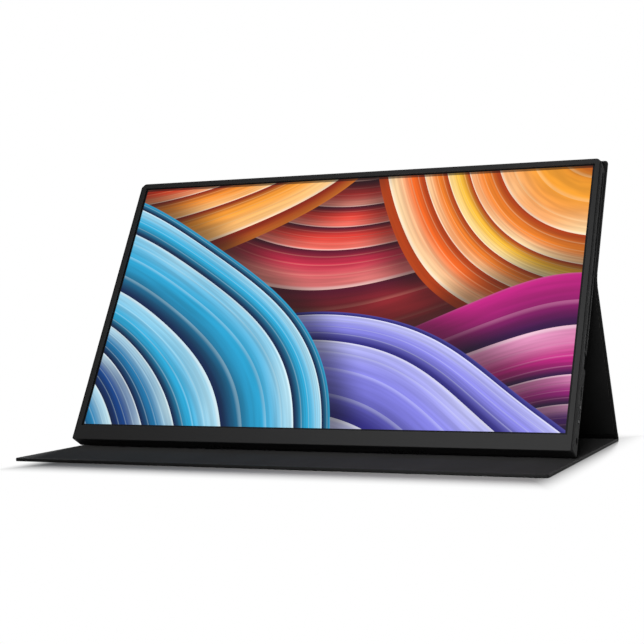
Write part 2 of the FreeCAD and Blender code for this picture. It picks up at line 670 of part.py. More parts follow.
def cut_side_openings(body):
    """Grooves, thumb scoop and openings in the housing's two sides."""
    middle = f"-{SOCKET_DEPTH}"
    through = "sizes.housing_wall + sizes.board_gap"
    clear = "2 * sizes.port_clearance"
    key_hole = f"sizes.key_width + {clear}"
    usb_hole = f"sizes.usb_width + {clear}"
    shell_hole = f"sizes.socket_height + {clear}"
    groove_length = f"({HEIGHT} - sizes.groove_end_gap - sizes.groove_low)"
    groove_middle = f"sizes.groove_low + {groove_length} / 2"
    for side in (RIGHT, LEFT):
        groove = side_sketch(body, side, f"{WIDTH} / 2")
        round_slot(groove, groove_middle, middle, groove_length, "sizes.groove_width")
        pocket(body, groove, "sizes.groove_depth", along=side == LEFT)
    scoop = side_sketch(body, RIGHT, f"{WIDTH} / 2")
    rounded_rectangle(
        scoop,
        "sizes.rocker_place - sizes.scoop_length / 2",
        "-sizes.display_depth - sizes.scoop_round",
        "sizes.scoop_length",
        f"sizes.display_depth - {SOCKET_DEPTH} + sizes.scoop_reach + sizes.scoop_round",
        "sizes.scoop_round",
    )
    pocket(body, scoop, "sizes.scoop_depth")
    right_side = side_sketch(body, RIGHT, f"{WIDTH} / 2")
    round_slot(right_side, "sizes.rocker_place", middle, f"sizes.rocker_length + {clear}", key_hole)
    round_slot(right_side, "sizes.usb_place", middle, usb_hole, shell_hole)
    rectangle(
        right_side,
        "sizes.video_place - sizes.video_width / 2 - sizes.port_clearance",
        f"{middle} - sizes.socket_height / 2 - sizes.port_clearance",
        f"sizes.video_width + {clear}",
        shell_hole,
    )
    circle(right_side, "sizes.light_place", middle, "sizes.light_radius + sizes.screw_play")
    circle(right_side, "sizes.jack_place", f"-{JACK_DEPTH}", "sizes.collar_radius + sizes.screw_play")
    pocket(body, right_side, through)
    left_side = side_sketch(body, LEFT, f"{WIDTH} / 2")
    round_slot(left_side, "sizes.usb_left_place", middle, usb_hole, shell_hole)
    round_slot(left_side, "sizes.power_place", middle, f"sizes.power_length + {clear}", key_hole)
    pocket(body, left_side, through, along=True)


def cut_speaker_grilles(body):
    """Row of slots through the bottom wall in front of each speaker."""
    row_length = "(sizes.slot_pitch * (sizes.slot_count - 1))"
    grille_depth = f"({INNER_BACK} - sizes.speaker_depth / 2)"
    for side in (RIGHT, LEFT):
        sketch = new_sketch(body, "XZ_Plane", "0")
        rectangle(
            sketch,
            f"{side} * {SPEAKER_MIDDLE} - {row_length} / 2 - sizes.slot_width / 2",
            f"-{grille_depth} - sizes.slot_length / 2",
            "sizes.slot_width",
            "sizes.slot_length",
        )
        slot = pocket(body, sketch, "sizes.housing_wall")
        repeat(body, slot, sketch, "H_Axis", row_length, "sizes.slot_count")


def make_rear_housing():
    """Moulded tray with two side rims, side openings, speaker grilles, screw holes and standoffs."""
    body = new_piece("rear_housing")
    outline = face_sketch(body, "sizes.display_depth")
    casing_outline(outline, "0", "sizes.foot_corner")
    pad(body, outline, "sizes.display_depth - sizes.rim_step")
    back, front = -number("sizes.display_depth"), -number("sizes.rim_step")
    dress_edges(body, "PartDesign::Fillet", "Radius", "sizes.back_round", lambda edge: at_level(edge, back))
    dress_edges(body, "PartDesign::Fillet", "Radius", "sizes.rim_round", lambda edge: at_level(edge, front))
    seat = face_sketch(body, "0")
    middle_rectangle(
        seat,
        "-sizes.rim_width",
        f"{WIDTH} - 2 * (sizes.rim_width - sizes.seam_width)",
        f"{HEIGHT} + 2 * sizes.rim_width",
    )
    pocket(body, seat, "sizes.frame_depth")
    hollow = face_sketch(body, "sizes.frame_depth")
    casing_outline(hollow, "sizes.housing_wall", "sizes.foot_corner / 2")
    pocket(body, hollow, f"{INNER_BACK} - sizes.frame_depth")
    standoffs = face_sketch(body, INNER_BACK)
    pilots = face_sketch(body, BOARD_BACK)
    for x, y in board_screw_places():
        circle(standoffs, x, y, "sizes.standoff_radius")
        circle(pilots, x, y, "sizes.screw_radius")
    side_left, side_low, side_wide, side_high = board_corners(LEFT)
    rib_left = f"{side_left} + {side_wide} - sizes.standoff_radius"
    rectangle(standoffs, rib_left, side_low, "sizes.standoff_radius", side_high)
    pad(body, standoffs, "sizes.standoff_height")
    pocket(body, pilots, "sizes.board_screw_grip")
    holes = face_sketch(body, INNER_BACK)
    head_seats = face_sketch(body, "sizes.display_depth")
    for x, y in screw_places():
        circle(holes, x, y, "sizes.screw_radius + sizes.screw_play")
        circle(head_seats, x, y, "sizes.screw_head_radius + sizes.screw_play")
    pocket(body, holes, "sizes.back_wall")
    pocket(body, head_seats, "sizes.screw_head", along=True)
    cut_side_openings(body)
    cut_speaker_grilles(body)


def make_circuit_boards():
    """Main board behind the right side, and the small board behind the left side that rests on a rib."""
    boards = {}
    for name, side in (("main_board", RIGHT), ("side_board", LEFT)):
        body = new_piece(name)
        outline = face_sketch(body, BOARD_BACK)
        rectangle(outline, *board_corners(side))
        pad(body, outline, "sizes.circuit_board")
        boards[side] = body
    holes = face_sketch(boards[RIGHT], BOARD_FRONT)
    for x, y in board_screw_places():
        circle(holes, x, y, "sizes.screw_radius + sizes.screw_play")
    pocket(boards[RIGHT], holes, "sizes.circuit_board")


def make_board_parts():
    """Shield can over the video chip, and the row of chips beside it."""
    left, low, wide, high = board_corners(RIGHT)
    can = new_piece("shield_can")
    outline = face_sketch(can, BOARD_FRONT)
    rounded_rectangle(
        outline,
        f"{left} + {wide} / 2 - sizes.shield_side / 2",
        f"{low} + {high} / 2 - sizes.shield_side / 2",
        "sizes.shield_side",
        "sizes.shield_side",
        "sizes.socket_height / 2",
    )
    pad(can, outline, "sizes.shield_height")
    chips = new_piece("board_chips")
    row = face_sketch(chips, BOARD_FRONT)
    row_length = "(sizes.chip_pitch * (sizes.chip_count - 1))"
    rectangle(
        row,
        f"{left} + {wide} / 2 - sizes.chip_side / 2 - {row_length} / 2",
        f"{low} + sizes.screw_inset",
        "sizes.chip_side",
        "sizes.chip_side",
    )
    chip = pad(chips, row, "sizes.chip_height")
    repeat(chips, chip, row, "H_Axis", row_length, "sizes.chip_count")


def make_usb_socket(name, side, place):
    """Reversible socket: a metal shell with round sides and a contact tongue."""
    body = new_piece(name)
    mouth = f"{WIDTH} / 2 - sizes.socket_set_back"
    back = f"{mouth} - sizes.socket_length"
    middle = f"-{SOCKET_DEPTH}"
    shell = side_sketch(body, side, mouth)
    round_slot(shell, place, middle, "sizes.usb_width", "sizes.socket_height")
    pad(body, shell, "sizes.socket_length", backwards=side == RIGHT)
    inside = side_sketch(body, side, mouth)
    wall = "2 * sizes.socket_wall"
    round_slot(inside, place, middle, f"sizes.usb_width - {wall}", f"sizes.socket_height - {wall}")
    pocket(body, inside, "sizes.socket_length - 2 * sizes.socket_wall", along=side == LEFT)
    tongue = side_sketch(body, side, back)
    rectangle(
        tongue,
        f"{place} - sizes.usb_width / 2 + sizes.tongue_thickness * 1.5",
        f"{middle} - sizes.tongue_thickness / 2",
        "sizes.usb_width - 3 * sizes.tongue_thickness",
        "sizes.tongue_thickness",
    )
    pad(body, tongue, "sizes.socket_length - sizes.tongue_thickness", backwards=side == LEFT)


def make_video_socket():
    """Video socket with two cut lower corners and a contact tongue."""
    body = new_piece("video_socket")
    mouth = f"{WIDTH} / 2 + sizes.video_proud"
    low_edge = f"-{BOARD_FRONT}"
    shell = side_sketch(body, RIGHT, mouth)
    left = "sizes.video_place - sizes.video_width / 2"
    rectangle(shell, left, low_edge, "sizes.video_width", "sizes.socket_height")
    pad(body, shell, "sizes.socket_length", backwards=True)
    bottom = number(low_edge)

    def lower_long_edge(edge):
        return at_level(edge, bottom) and edge.BoundBox.XLength > number("sizes.socket_length") / 2

    dress_edges(body, "PartDesign::Chamfer", "Size", "sizes.video_chamfer", lower_long_edge)
    inside = side_sketch(body, RIGHT, mouth)
    rectangle(
        inside,
        f"{left} + sizes.video_chamfer",
        f"{low_edge} + sizes.socket_wall",
        "sizes.video_width - 2 * sizes.video_chamfer",
        "sizes.socket_height - 2 * sizes.socket_wall",
    )
    pocket(body, inside, "sizes.socket_length - 2 * sizes.socket_wall")
    tongue = side_sketch(body, RIGHT, f"{mouth} - sizes.socket_length")
    rectangle(
        tongue,
        f"{left} + 2 * sizes.video_chamfer",
        f"-{SOCKET_DEPTH} - sizes.tongue_thickness / 2",
        "sizes.video_width - 4 * sizes.video_chamfer",
        "sizes.tongue_thickness",
    )
    pad(body, tongue, "sizes.socket_length - sizes.tongue_thickness")


def make_headphone_socket():
    """Block on the back wall with a round collar in the casing's opening."""
    body = new_piece("headphone_socket")
    inner = f"{WALL_INSIDE} - 2 * sizes.board_gap"
    block = side_sketch(body, RIGHT, inner)
    left = "sizes.jack_place - sizes.jack_width / 2"
    rectangle(block, left, f"-{INNER_BACK}", "sizes.jack_width", "sizes.jack_height")
    pad(body, block, "sizes.jack_length", backwards=True)
    collar = side_sketch(body, RIGHT, inner)
    circle(collar, "sizes.jack_place", f"-{JACK_DEPTH}", "sizes.collar_radius")
    pad(body, collar, "2 * sizes.board_gap + sizes.housing_wall - sizes.socket_set_back")
    bore = side_sketch(body, RIGHT, f"{WIDTH} / 2 - sizes.socket_set_back")
    circle(bore, "sizes.jack_place", f"-{JACK_DEPTH}", "sizes.jack_radius")
    pocket(body, bore, "sizes.jack_length")


def make_status_light():
    """Clear light pipe through the right side."""
    body = new_piece("status_light")
    sketch = side_sketch(body, RIGHT, f"{WIDTH} / 2")
    circle(sketch, "sizes.light_place", f"-{SOCKET_DEPTH}", "sizes.light_radius")
    pad(body, sketch, "sizes.housing_wall + 2 * sizes.board_gap", backwards=True)


def make_key(name, side, place, length, face):
    """Key with round ends that passes through the side wall, with a flange inside to keep it there."""
    body = new_piece(name)
    middle = f"-{SOCKET_DEPTH}"
    flange_face = f"({WALL_INSIDE} - sizes.flange_gap)"
    cap = side_sketch(body, side, flange_face)
    round_slot(cap, place, middle, length, "sizes.key_width")
    pad(body, cap, f"{face} + sizes.key_proud - {flange_face}", backwards=side == LEFT)
    flange = side_sketch(body, side, flange_face)
    round_slot(flange, place, middle, f"{length} + 2 * sizes.flange_reach", "sizes.key_width")
    pad(body, flange, "sizes.flange_thickness", backwards=side == RIGHT)


def make_switch(name, side, place):
    """Switch on a board's edge, behind a key."""
    body = new_piece(name)
    front = f"{WALL_INSIDE} - sizes.flange_gap - sizes.flange_thickness - sizes.switch_gap"
    sketch = side_sketch(body, side, front)
    left = f"{place} - sizes.switch_width / 2"
    rectangle(sketch, left, f"-{BOARD_FRONT}", "sizes.switch_width", "sizes.switch_height")
    pad(body, sketch, "sizes.switch_length", backwards=side == RIGHT)


def make_speaker(name, side):
    """Flat speaker on the back wall, behind its grille."""
    body = new_piece(name)
    low = "(sizes.housing_wall + sizes.board_gap)"
    outline = face_sketch(body, INNER_BACK)
    rounded_rectangle(
        outline,
        f"{side} * {SPEAKER_MIDDLE} - sizes.speaker_width / 2",
        low,
        "sizes.speaker_width",
        "sizes.speaker_height",
        "sizes.speaker_corner",
    )
    pad(body, outline, "sizes.speaker_depth")
    mouth = new_sketch(body, "XZ_Plane", f"-{low}")
    rectangle(
        mouth,
        f"{side} * {SPEAKER_MIDDLE} - sizes.speaker_width / 2 + sizes.speaker_corner",
        f"-{INNER_BACK} + sizes.speaker_depth / 2 - sizes.slot_width / 2",
        "sizes.speaker_width - 2 * sizes.speaker_corner",
        "sizes.slot_width",
    )
    pocket(body, mouth, "sizes.speaker_corner")


def make_screws(name, places, head_depth, shank_length, head_at_back):
    """Group of like screws with their heads seated at one depth."""
    body = new_piece(name)
    heads = face_sketch(body, head_depth)
    shanks = face_sketch(body, head_depth)
    for x, y in places:
        circle(heads, x, y, "sizes.screw_head_radius")
        circle(shanks, x, y, "sizes.screw_radius")
    pad(body, heads, "sizes.screw_head", backwards=head_at_back)
    pad(body, shanks, shank_length, backwards=not head_at_back)


def make_all_screws():
    """Casing screws from the back into the frame's bosses, board screws from the front into standoffs."""
    seat = "sizes.display_depth - sizes.screw_head"
    grip = "sizes.back_wall - sizes.screw_head + sizes.screw_grip"
    make_screws("casing_screws", screw_places(), seat, grip, head_at_back=True)
    grip = "sizes.circuit_board + sizes.board_screw_grip"
    make_screws("board_screws", board_screw_places(), BOARD_FRONT, grip, head_at_back=False)


def make_keeper_plate():
    """Steel strip inside the back wall that the folio's magnets hold."""
    body = new_piece("keeper_plate")
    row_y = f"({HEIGHT} + sizes.folio_top - sizes.magnet_row)"
    sketch = face_sketch(body, INNER_BACK)
    middle_rectangle(
        sketch,
        f"{row_y} - sizes.magnet_width",
        f"{MAGNET_ROW} + 2 * sizes.magnet_length",
        "2 * sizes.magnet_width",
    )
    pad(body, sketch, "sizes.keeper_thickness")


def magnet_row(body, depth, row_y):
    """Sketch of the first magnet of a row."""
    sketch = face_sketch(body, depth)
    rectangle(
        sketch,
        f"-{MAGNET_ROW} / 2 - sizes.magnet_length / 2",
        f"{row_y} - sizes.magnet_width / 2",
        "sizes.magnet_length",
        "sizes.magnet_width",
    )
    return sketch


def make_panel_core(prefix, group, low, high, row_y=None):
    """Board and lining inside a panel's turned edge, with a row of magnets let into the board."""
    wide = f"{FOLIO_WIDTH} - 2 * sizes.turned_edge"
    board_face = "-(sizes.leather + sizes.board)"
    stiffener = plate(f"{prefix}_board", low, wide, high, board_face, "sizes.board", group)
    plate(f"{prefix}_lining", low, wide, high, f"-{FOLIO}", "sizes.lining", group)
    if row_y is None:
        return
    hole = magnet_row(stiffener, board_face, row_y)
    cut = pocket(stiffener, hole, "sizes.board")
    repeat(stiffener, cut, hole, "H_Axis", MAGNET_ROW, "sizes.magnet_count")
    magnets = new_piece(f"{prefix}_magnets", group)
    outline = magnet_row(magnets, "-sizes.leather", row_y)
    magnet = pad(magnets, outline, "sizes.board")
    repeat(magnets, magnet, outline, "H_Axis", MAGNET_ROW, "sizes.magnet_count")


def leather_tray(prefix, group, start, end, bed_start, bed_end):
    """Outer skin of a panel: a slab with a bed for the board and lining inside its turned edges."""
    body = new_piece(f"{prefix}_leather", group)
    outline = face_sketch(body, "0")
    middle_rectangle(outline, start, FOLIO_WIDTH, f"({end}) - ({start})")
    pad(body, outline, FOLIO)
    bed = face_sketch(body, f"-{FOLIO}")
    bed_width = f"{FOLIO_WIDTH} - 2 * sizes.turned_edge"
    middle_rectangle(bed, bed_start, bed_width, f"({bed_end}) - ({bed_start})")
    pocket(body, bed, f"{FOLIO} - sizes.leather")
    return body


def thin_crease(body, start, end, from_inside):
    """Takes half the thickness off a strip beside a crease, from the inner or the outer face."""
    sketch = face_sketch(body, f"-{FOLIO}" if from_inside else "0")
    middle_rectangle(sketch, start, FOLIO_WIDTH, f"({end}) - ({start})")
    pocket(body, sketch, f"{FOLIO} / 2", along=not from_inside)


def crease_bead(body, radius):
    """Round bead of folded skin on the crease's axis."""
    sketch = new_sketch(body, "YZ_Plane", "0")
    circle(sketch, "0", f"{FOLIO} / 2", radius)
    pad(body, sketch, FOLIO_WIDTH, both_ways=True)


def round_free_corners(body, level):
    """Rounds the upright corner edges at a panel's free end."""

    def free_corner(edge):
        box = edge.BoundBox
        upright = box.ZLength > number(FOLIO) - 1e-4 and box.XLength < 1e-4
        outer = abs(abs(box.Center.x) - number(FOLIO_WIDTH) / 2) < 1e-4
        return upright and outer and abs(box.Center.y - level) < 1e-4

    dress_edges(body, "PartDesign::Fillet", "Radius", "sizes.folio_corner", free_corner)


def make_folio():
    """Floor panel, leg and upper panel, each a skin, a board and a lining."""
    land = "sizes.crease_land"
    edge = "sizes.turned_edge"
    play = f"({FOLIO} / 2 + sizes.crease_play)"
    front = "-sizes.floor_length"

    floor = leather_tray("floor", "floor", front, "0", f"{front} + {edge}", f"-{land}")
    round_free_corners(floor, number(front))
    thin_crease(floor, f"-{land}", "0", from_inside=True)
    crease_bead(floor, f"{FOLIO} / 2")
    floor_bed = f"sizes.floor_length - {edge} - {land}"
    foot_row = f"-2 * sizes.leg_length * {SIN} - sizes.foot_row"
    make_panel_core("floor", "floor", f"{front} + {edge}", floor_bed, foot_row)

    leg_end = f"(sizes.leg_length - {land})"
    leg = leather_tray("leg", "leg", play, f"sizes.leg_length - {play}", land, f"{leg_end} - {edge}")
    thin_crease(leg, play, land, from_inside=True)
    thin_crease(leg, leg_end, f"sizes.leg_length - {play}", from_inside=False)
    make_panel_core("leg", "leg", land, f"{leg_end} - {edge} - {land}")

    top = UPPER_LENGTH
    upper = leather_tray("upper", "upper", "0", top, f"{land} + {edge}", f"{top} - {edge}")
    round_free_corners(upper, number(top))
    thin_crease(upper, "0", land, from_inside=False)
    crease_bead(upper, f"{FOLIO} / 2 - sizes.crease_play / 3")
    upper_bed = f"{top} - 2 * {edge} - {land}"
    make_panel_core("upper", "upper", f"{land} + {edge}", upper_bed, f"{top} - sizes.magnet_row")


def make_display():
    """Casing, panel stack, electronics, sockets and controls."""
    make_front_frame()
    make_panel_gasket()
    make_panel_sheets()
    make_light_strip()
    make_panel_chassis()
    make_driver_board()
    make_rear_housing()
    make_circuit_boards()
    make_board_parts()
    make_display_ribbon()
    make_side_ribbon()
    make_usb_socket("usb_socket_right", RIGHT, "sizes.usb_place")
    make_usb_socket("usb_socket_left", LEFT, "sizes.usb_left_place")
    make_video_socket()
    make_headphone_socket()
    make_status_light()
    make_key("menu_rocker", RIGHT, "sizes.rocker_place", "sizes.rocker_length", SCOOP_FLOOR)
    make_switch("menu_switch", RIGHT, "sizes.rocker_place")
    make_key("power_key", LEFT, "sizes.power_place", "sizes.power_length", f"{WIDTH} / 2")
    make_switch("power_switch", LEFT, "sizes.power_place")
    make_speaker("speaker_right", RIGHT)
    make_speaker("speaker_left", LEFT)
    make_all_screws()
    make_keeper_plate()


def check_document():
    """Stops if anything failed to build, or if a cut took nothing away."""
    for item in DOC.Objects:
        if "Invalid" in item.State or "Error" in item.State:
            raise RuntimeError(f"{item.Name} failed: {item.State}")
        if item.TypeId == "PartDesign::Pocket":
            removed = item.BaseFeature.Shape.Volume - item.Shape.Volume
            if removed < 1e-6:
                raise RuntimeError(f"{item.Name} cuts nothing")
    for body in PIECES:
        if body.Shape.isNull() or not body.Shape.isValid() or not body.Shape.Solids:
            raise RuntimeError(f"{body.Label} has no valid solid")


def write_pieces():
    """Writes each piece to its own file."""
    os.makedirs("parts", exist_ok=True)
    for body in PIECES:
        body.Shape.exportStep(f"parts/{body.Label}.step")


make_display()
make_folio()
DOC.recompute()
check_document()
write_pieces()
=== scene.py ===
"""Looks of a portable monitor that leans on its own folio cover, laid out as an add-on."""

import json
import math

import bmesh
import bpy
from bpy.props import FloatProperty, FloatVectorProperty, IntProperty, PointerProperty
from mathutils import Matrix, Vector


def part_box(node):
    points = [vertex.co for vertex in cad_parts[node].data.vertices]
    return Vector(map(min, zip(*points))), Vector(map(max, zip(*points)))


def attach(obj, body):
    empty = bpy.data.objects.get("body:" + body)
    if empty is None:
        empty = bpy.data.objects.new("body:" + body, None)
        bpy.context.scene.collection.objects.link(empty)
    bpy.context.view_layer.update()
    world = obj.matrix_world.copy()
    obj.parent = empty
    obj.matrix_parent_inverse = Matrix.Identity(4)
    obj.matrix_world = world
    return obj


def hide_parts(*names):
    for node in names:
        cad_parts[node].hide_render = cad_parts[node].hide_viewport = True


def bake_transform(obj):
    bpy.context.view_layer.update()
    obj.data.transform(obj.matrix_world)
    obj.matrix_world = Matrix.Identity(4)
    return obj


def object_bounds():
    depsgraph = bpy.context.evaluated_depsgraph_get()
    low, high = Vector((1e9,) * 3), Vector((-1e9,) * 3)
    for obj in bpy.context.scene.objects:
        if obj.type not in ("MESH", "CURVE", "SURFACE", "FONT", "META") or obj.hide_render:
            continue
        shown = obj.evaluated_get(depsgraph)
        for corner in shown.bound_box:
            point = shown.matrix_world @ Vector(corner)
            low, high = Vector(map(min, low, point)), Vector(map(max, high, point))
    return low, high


bl_info = {
    "name": "Portable Monitor Finish",
    "version": (1, 0, 0),
    "blender": (4, 5, 0),
    "location": "View3D > Sidebar > Monitor",
    "description": "Dresses a portable monitor and its folio stand, and sets up its studio",
    "category": "Object",
}

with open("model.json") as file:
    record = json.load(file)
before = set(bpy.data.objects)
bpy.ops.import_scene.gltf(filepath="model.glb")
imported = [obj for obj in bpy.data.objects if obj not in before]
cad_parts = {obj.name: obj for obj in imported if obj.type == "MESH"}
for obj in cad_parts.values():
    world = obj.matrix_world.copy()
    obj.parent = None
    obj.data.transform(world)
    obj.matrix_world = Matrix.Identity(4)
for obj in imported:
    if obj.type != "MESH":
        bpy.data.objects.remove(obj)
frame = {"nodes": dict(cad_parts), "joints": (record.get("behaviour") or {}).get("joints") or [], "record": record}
CAD_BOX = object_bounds()

# The stand's geometry, read from the frame. Metres, +X to the right, +Y to the back, +Z up.
JOINT_PLACES = {joint["name"]: joint.get("pos_m") for joint in frame["joints"]}
REAR_FOLD = Vector(JOINT_PLACES["leg_fold"])
UPPER_CREASE = Vector(JOINT_PLACES["panel_crease"])
LEG_RUN = UPPER_CREASE - REAR_FOLD
LEG_LENGTH = LEG_RUN.length
TILT = math.atan2(-LEG_RUN.y, LEG_RUN.z)
SIN, COS = math.sin(TILT), math.cos(TILT)
SCREEN_UP = Vector((0, SIN, COS))
SCREEN_OUT = Vector((0, -COS, SIN))

# The folio's panels. In each one, x is to the right, y runs along the panel and z is its inner side.
FOLIO = 2 * REAR_FOLD.z
FOLIO_WIDTH = CAD_BOX[1].x - CAD_BOX[0].x
FLOOR_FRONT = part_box("floor_leather")[0].y - REAR_FOLD.y
UPPER_TOP = (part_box("upper_leather")[1].z - UPPER_CREASE.z - FOLIO / 2 * SIN) / COS
LEG_OUT = Vector((0, COS, SIN))
PANELS = {
    "floor": Matrix.Translation((0, REAR_FOLD.y, 0)),
    "leg": Matrix.Translation(REAR_FOLD + LEG_OUT * FOLIO / 2) @ Matrix.Rotation(math.pi / 2 + TILT, 4, "X"),
    "upper": Matrix.Translation(UPPER_CREASE - SCREEN_OUT * FOLIO / 2)
    @ Matrix.Rotation(math.pi / 2 - TILT, 4, "X"),
}

# The glass is a plain plate, so its own height and thickness follow from its box and the lean.
GLASS_LOW, GLASS_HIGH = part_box("lcd_glass")
GLASS_SPAN = GLASS_HIGH - GLASS_LOW
GLASS_WIDTH = GLASS_SPAN.x
GLASS_HEIGHT = (GLASS_SPAN.z * COS - GLASS_SPAN.y * SIN) / (COS * COS - SIN * SIN)
GLASS_THICKNESS = (GLASS_SPAN.y * COS - GLASS_SPAN.z * SIN) / (COS * COS - SIN * SIN)
GLASS_FRONT = (GLASS_LOW + GLASS_HIGH) / 2 + SCREEN_OUT * GLASS_THICKNESS / 2


def size(name, default, description):
    """A length that a user may change."""
    return FloatProperty(name=name, description=description, default=default, unit="LENGTH", precision=5)


def share(name, default, description):
    """A plain number between nothing and one that a user may change."""
    return FloatProperty(name=name, description=description, default=default, min=0, max=1, subtype="FACTOR")


def angle(name, default, description):
    """An angle that a user may change, given here in degrees."""
    return FloatProperty(name=name, description=description, default=math.radians(default), subtype="ANGLE")


def colour(name, default, description):
    """A linear colour that a user may change."""
    values = {"name": name, "description": description, "default": default}
    return FloatVectorProperty(**values, subtype="COLOR", min=0, max=1)


def power(name, default, description):
    """A lamp's power that a user may change."""
    return FloatProperty(name=name, description=description, default=default, unit="POWER")


class FolioSettings(bpy.types.PropertyGroup):
    """Sizes and colours of the folio cover."""

    rim: size("Turned edge", 0.0018, "Skin turned over the board's edge")
    skin: size("Skin thickness", 0.0007, "Outer skin under the board")
    land: size("Crease land", 0.005, "Strip without a board at each side of a crease")
    corner: size("Corner radius", 0.002, "Rounding of the folio's free corners")
    edge_round: size("Edge rounding", 0.0005, "Rounding where the skin turns over an edge")
    lining: size("Lining thickness", 0.0004, "Inner cloth")
    lining_gap: size("Lining gap", 0.00015, "Fine line between lining and turned edge")
    fold_radius: size("Fold radius", 0.0015, "Outer bend of the rear fold")
    crease_radius: size("Crease radius", 0.008, "Hollow bend of the upper crease")
    skin_colour: colour("Skin", (0.034, 0.034, 0.0342), "Coated skin")
    lining_colour: colour("Lining", (0.036, 0.036, 0.0362), "Short-napped cloth")


class CasingSettings(bpy.types.PropertyGroup):
    """Colours of the display's casing."""

    bezel_colour: colour("Bezel", (0.064, 0.064, 0.0645), "Moulded front frame")
    housing_colour: colour("Housing", (0.035, 0.035, 0.0354), "Moulded rear housing")
    key_colour: colour("Keys", (0.012, 0.012, 0.0125), "Rocker and power key")
    wear: share("Edge wear", 0.35, "Paler plastic along worn edges")


class PictureSettings(bpy.types.PropertyGroup):
    """The picture on the screen: overlapping fans of curved paper bands."""

    margin: size("Glass margin", 0.003, "Glass past the picture at the sides")
    head: size("Glass head", 0.0020, "Glass past the picture at the top")
    foot: size("Glass foot", 0.004, "Glass past the picture at the bottom")
    # The strip along the picture's top edge is painted shade: it stands in for the shadow of the bezel's lip on
    # the picture
    lip_shadow_strip: size("Dim strip", 0.0017, "Shaded strip along the picture's top edge")
    bands: IntProperty(name="Bands", description="Paper bands across one picture height", default=7, min=1)
    brightness: share("Brightness", 1.0, "Light that a white patch of the picture gives")


class StageSettings(bpy.types.PropertyGroup):
    """Camera, lamps and floor."""

    azimuth: angle("Azimuth", 22.26, "Camera's turn to the right of the part's front")
    elevation: angle("Elevation", 0.13, "Camera's angle above the horizon")
    roll: angle("Roll", -1.15, "Camera's turn about its own line of sight")
    distance: size("Distance", 0.92357, "Camera to the part's origin, along the line of sight")
    aside: size("Aside", 0.0175, "Line of sight to the right of the origin")
    above: size("Above", 0.10176, "Line of sight above the origin")
    focal: FloatProperty(name="Focal length", description="In widths of the image", default=2.12120)
    middle_x: share("Middle, across", 0.54437, "Line of sight in the image, from its left side")
    middle_y: share("Middle, down", 0.46648, "Line of sight in the image, from its top")
    floor_size: size("Floor size", 12.0, "Side of the floor")
    floor_colour: colour("Floor", (0.50, 0.50, 0.50), "Pale floor")
    floor_bounce: colour("Floor bounce", (0.14, 0.14, 0.14), "Floor as it lights the part from below")
    sky_light: share("Sky light", 0.095, "Soft light from the front and above")
    key_power: power("Key lamp", 0.53, "Lamp close in front of the right end")
    top_power: power("Top lamp", 178.0, "Lamp above and behind")
    shadow_middle: size("Shadow middle", 0.013, "Middle of the shadow's zone, to the right of the origin")
    shadow_side: size("Shadow side", 0.158, "Where the shadow starts to fade at both sides")
    shadow_side_end: size("Shadow side end", 0.182, "Where it is gone at both sides")
    shadow_front: size("Shadow front", 0.106, "Where the shadow starts to fade in front")
    shadow_front_end: size("Shadow front end", 0.152, "Where it is gone in front")


class MonitorSettings(bpy.types.PropertyGroup):
    """All settings of the monitor."""

    folio: PointerProperty(type=FolioSettings)
    casing: PointerProperty(type=CasingSettings)
    picture: PointerProperty(type=PictureSettings)
    stage: PointerProperty(type=StageSettings)


def settings():
    """The scene's settings."""
    return bpy.context.scene.monitor


# Modelling helpers


def leave_edit_mode():
    """Back to object mode with nothing selected."""
    if bpy.context.object and bpy.context.object.mode != "OBJECT":
        bpy.ops.object.mode_set(mode="OBJECT")
    bpy.ops.object.select_all(action="DESELECT")


def pick_piece(piece):
    """Selects one piece alone and makes it the active one."""
    leave_edit_mode()
    bpy.context.view_layer.objects.active = piece
    piece.select_set(True)


def named(name):
    """Gives the new primitive its name and puts its place into its mesh."""
    piece = bpy.context.object
    piece.name = piece.data.name = name
    bpy.ops.object.transform_apply(location=True, rotation=True, scale=True)
    return piece


def slab(name, low, high):
    """Cube primitive stretched between two corners."""
    leave_edit_mode()
    low, high = Vector(low), Vector(high)
    bpy.ops.mesh.primitive_cube_add(size=1, location=(low + high) / 2, scale=high - low)
    return named(name)


def pick_edges(piece, wanted):
    """Selects the edges of a piece, in edit mode, whose two ends pass a test."""
    pick_piece(piece)
    bpy.ops.object.mode_set(mode="EDIT")
    bpy.ops.mesh.select_mode(type="EDGE")
    bpy.ops.mesh.select_all(action="DESELECT")
    mesh = bmesh.from_edit_mesh(piece.data)
    for edge in mesh.edges:
        edge.select_set(bool(wanted(edge.verts[0].co, edge.verts[1].co)))
    bmesh.update_edit_mesh(piece.data)


def apply_modifier(piece, kind, **values):
    """Adds a modifier, sets it and applies it."""
    pick_piece(piece)
    modifier = piece.modifiers.new("shape", kind)
    for name, value in values.items():
        setattr(modifier, name, value)
    bpy.ops.object.modifier_apply(modifier=modifier.name)


def cut_away(piece, cutter):
    """Takes the cutter's volume out of a piece and deletes the cutter."""
    apply_modifier(piece, "BOOLEAN", object=cutter, operation="DIFFERENCE", solver="EXACT")
    bpy.data.objects.remove(cutter)


def smooth(piece, degrees=35):
    """Smooth shading across gentle edges."""
    pick_piece(piece)
    bpy.ops.object.shade_smooth_by_angle(angle=math.radians(degrees))


def put_in_place(piece, matrix):
    """Moves a piece that was modelled in a panel's own frame to where the panel stands."""
    pick_piece(piece)
    piece.matrix_world = matrix
    bpy.ops.object.transform_apply(location=True, rotation=True, scale=True)


def dress(piece, material):
    """Gives a piece or a CAD node its one material."""
    piece.data.materials.clear()
    piece.data.materials.append(material)


# Node helpers


def add_node(tree, kind, inputs=None, **values):
    """Adds a node, sets its own values, and sets or links its inputs."""
    made = tree.nodes.new(kind)
    for name, value in values.items():
        setattr(made, name, value)
    for name, value in (inputs or {}).items():
        if isinstance(value, bpy.types.NodeSocket):
            tree.links.new(value, made.inputs[name])
        else:
            made.inputs[name].default_value = value
    return made


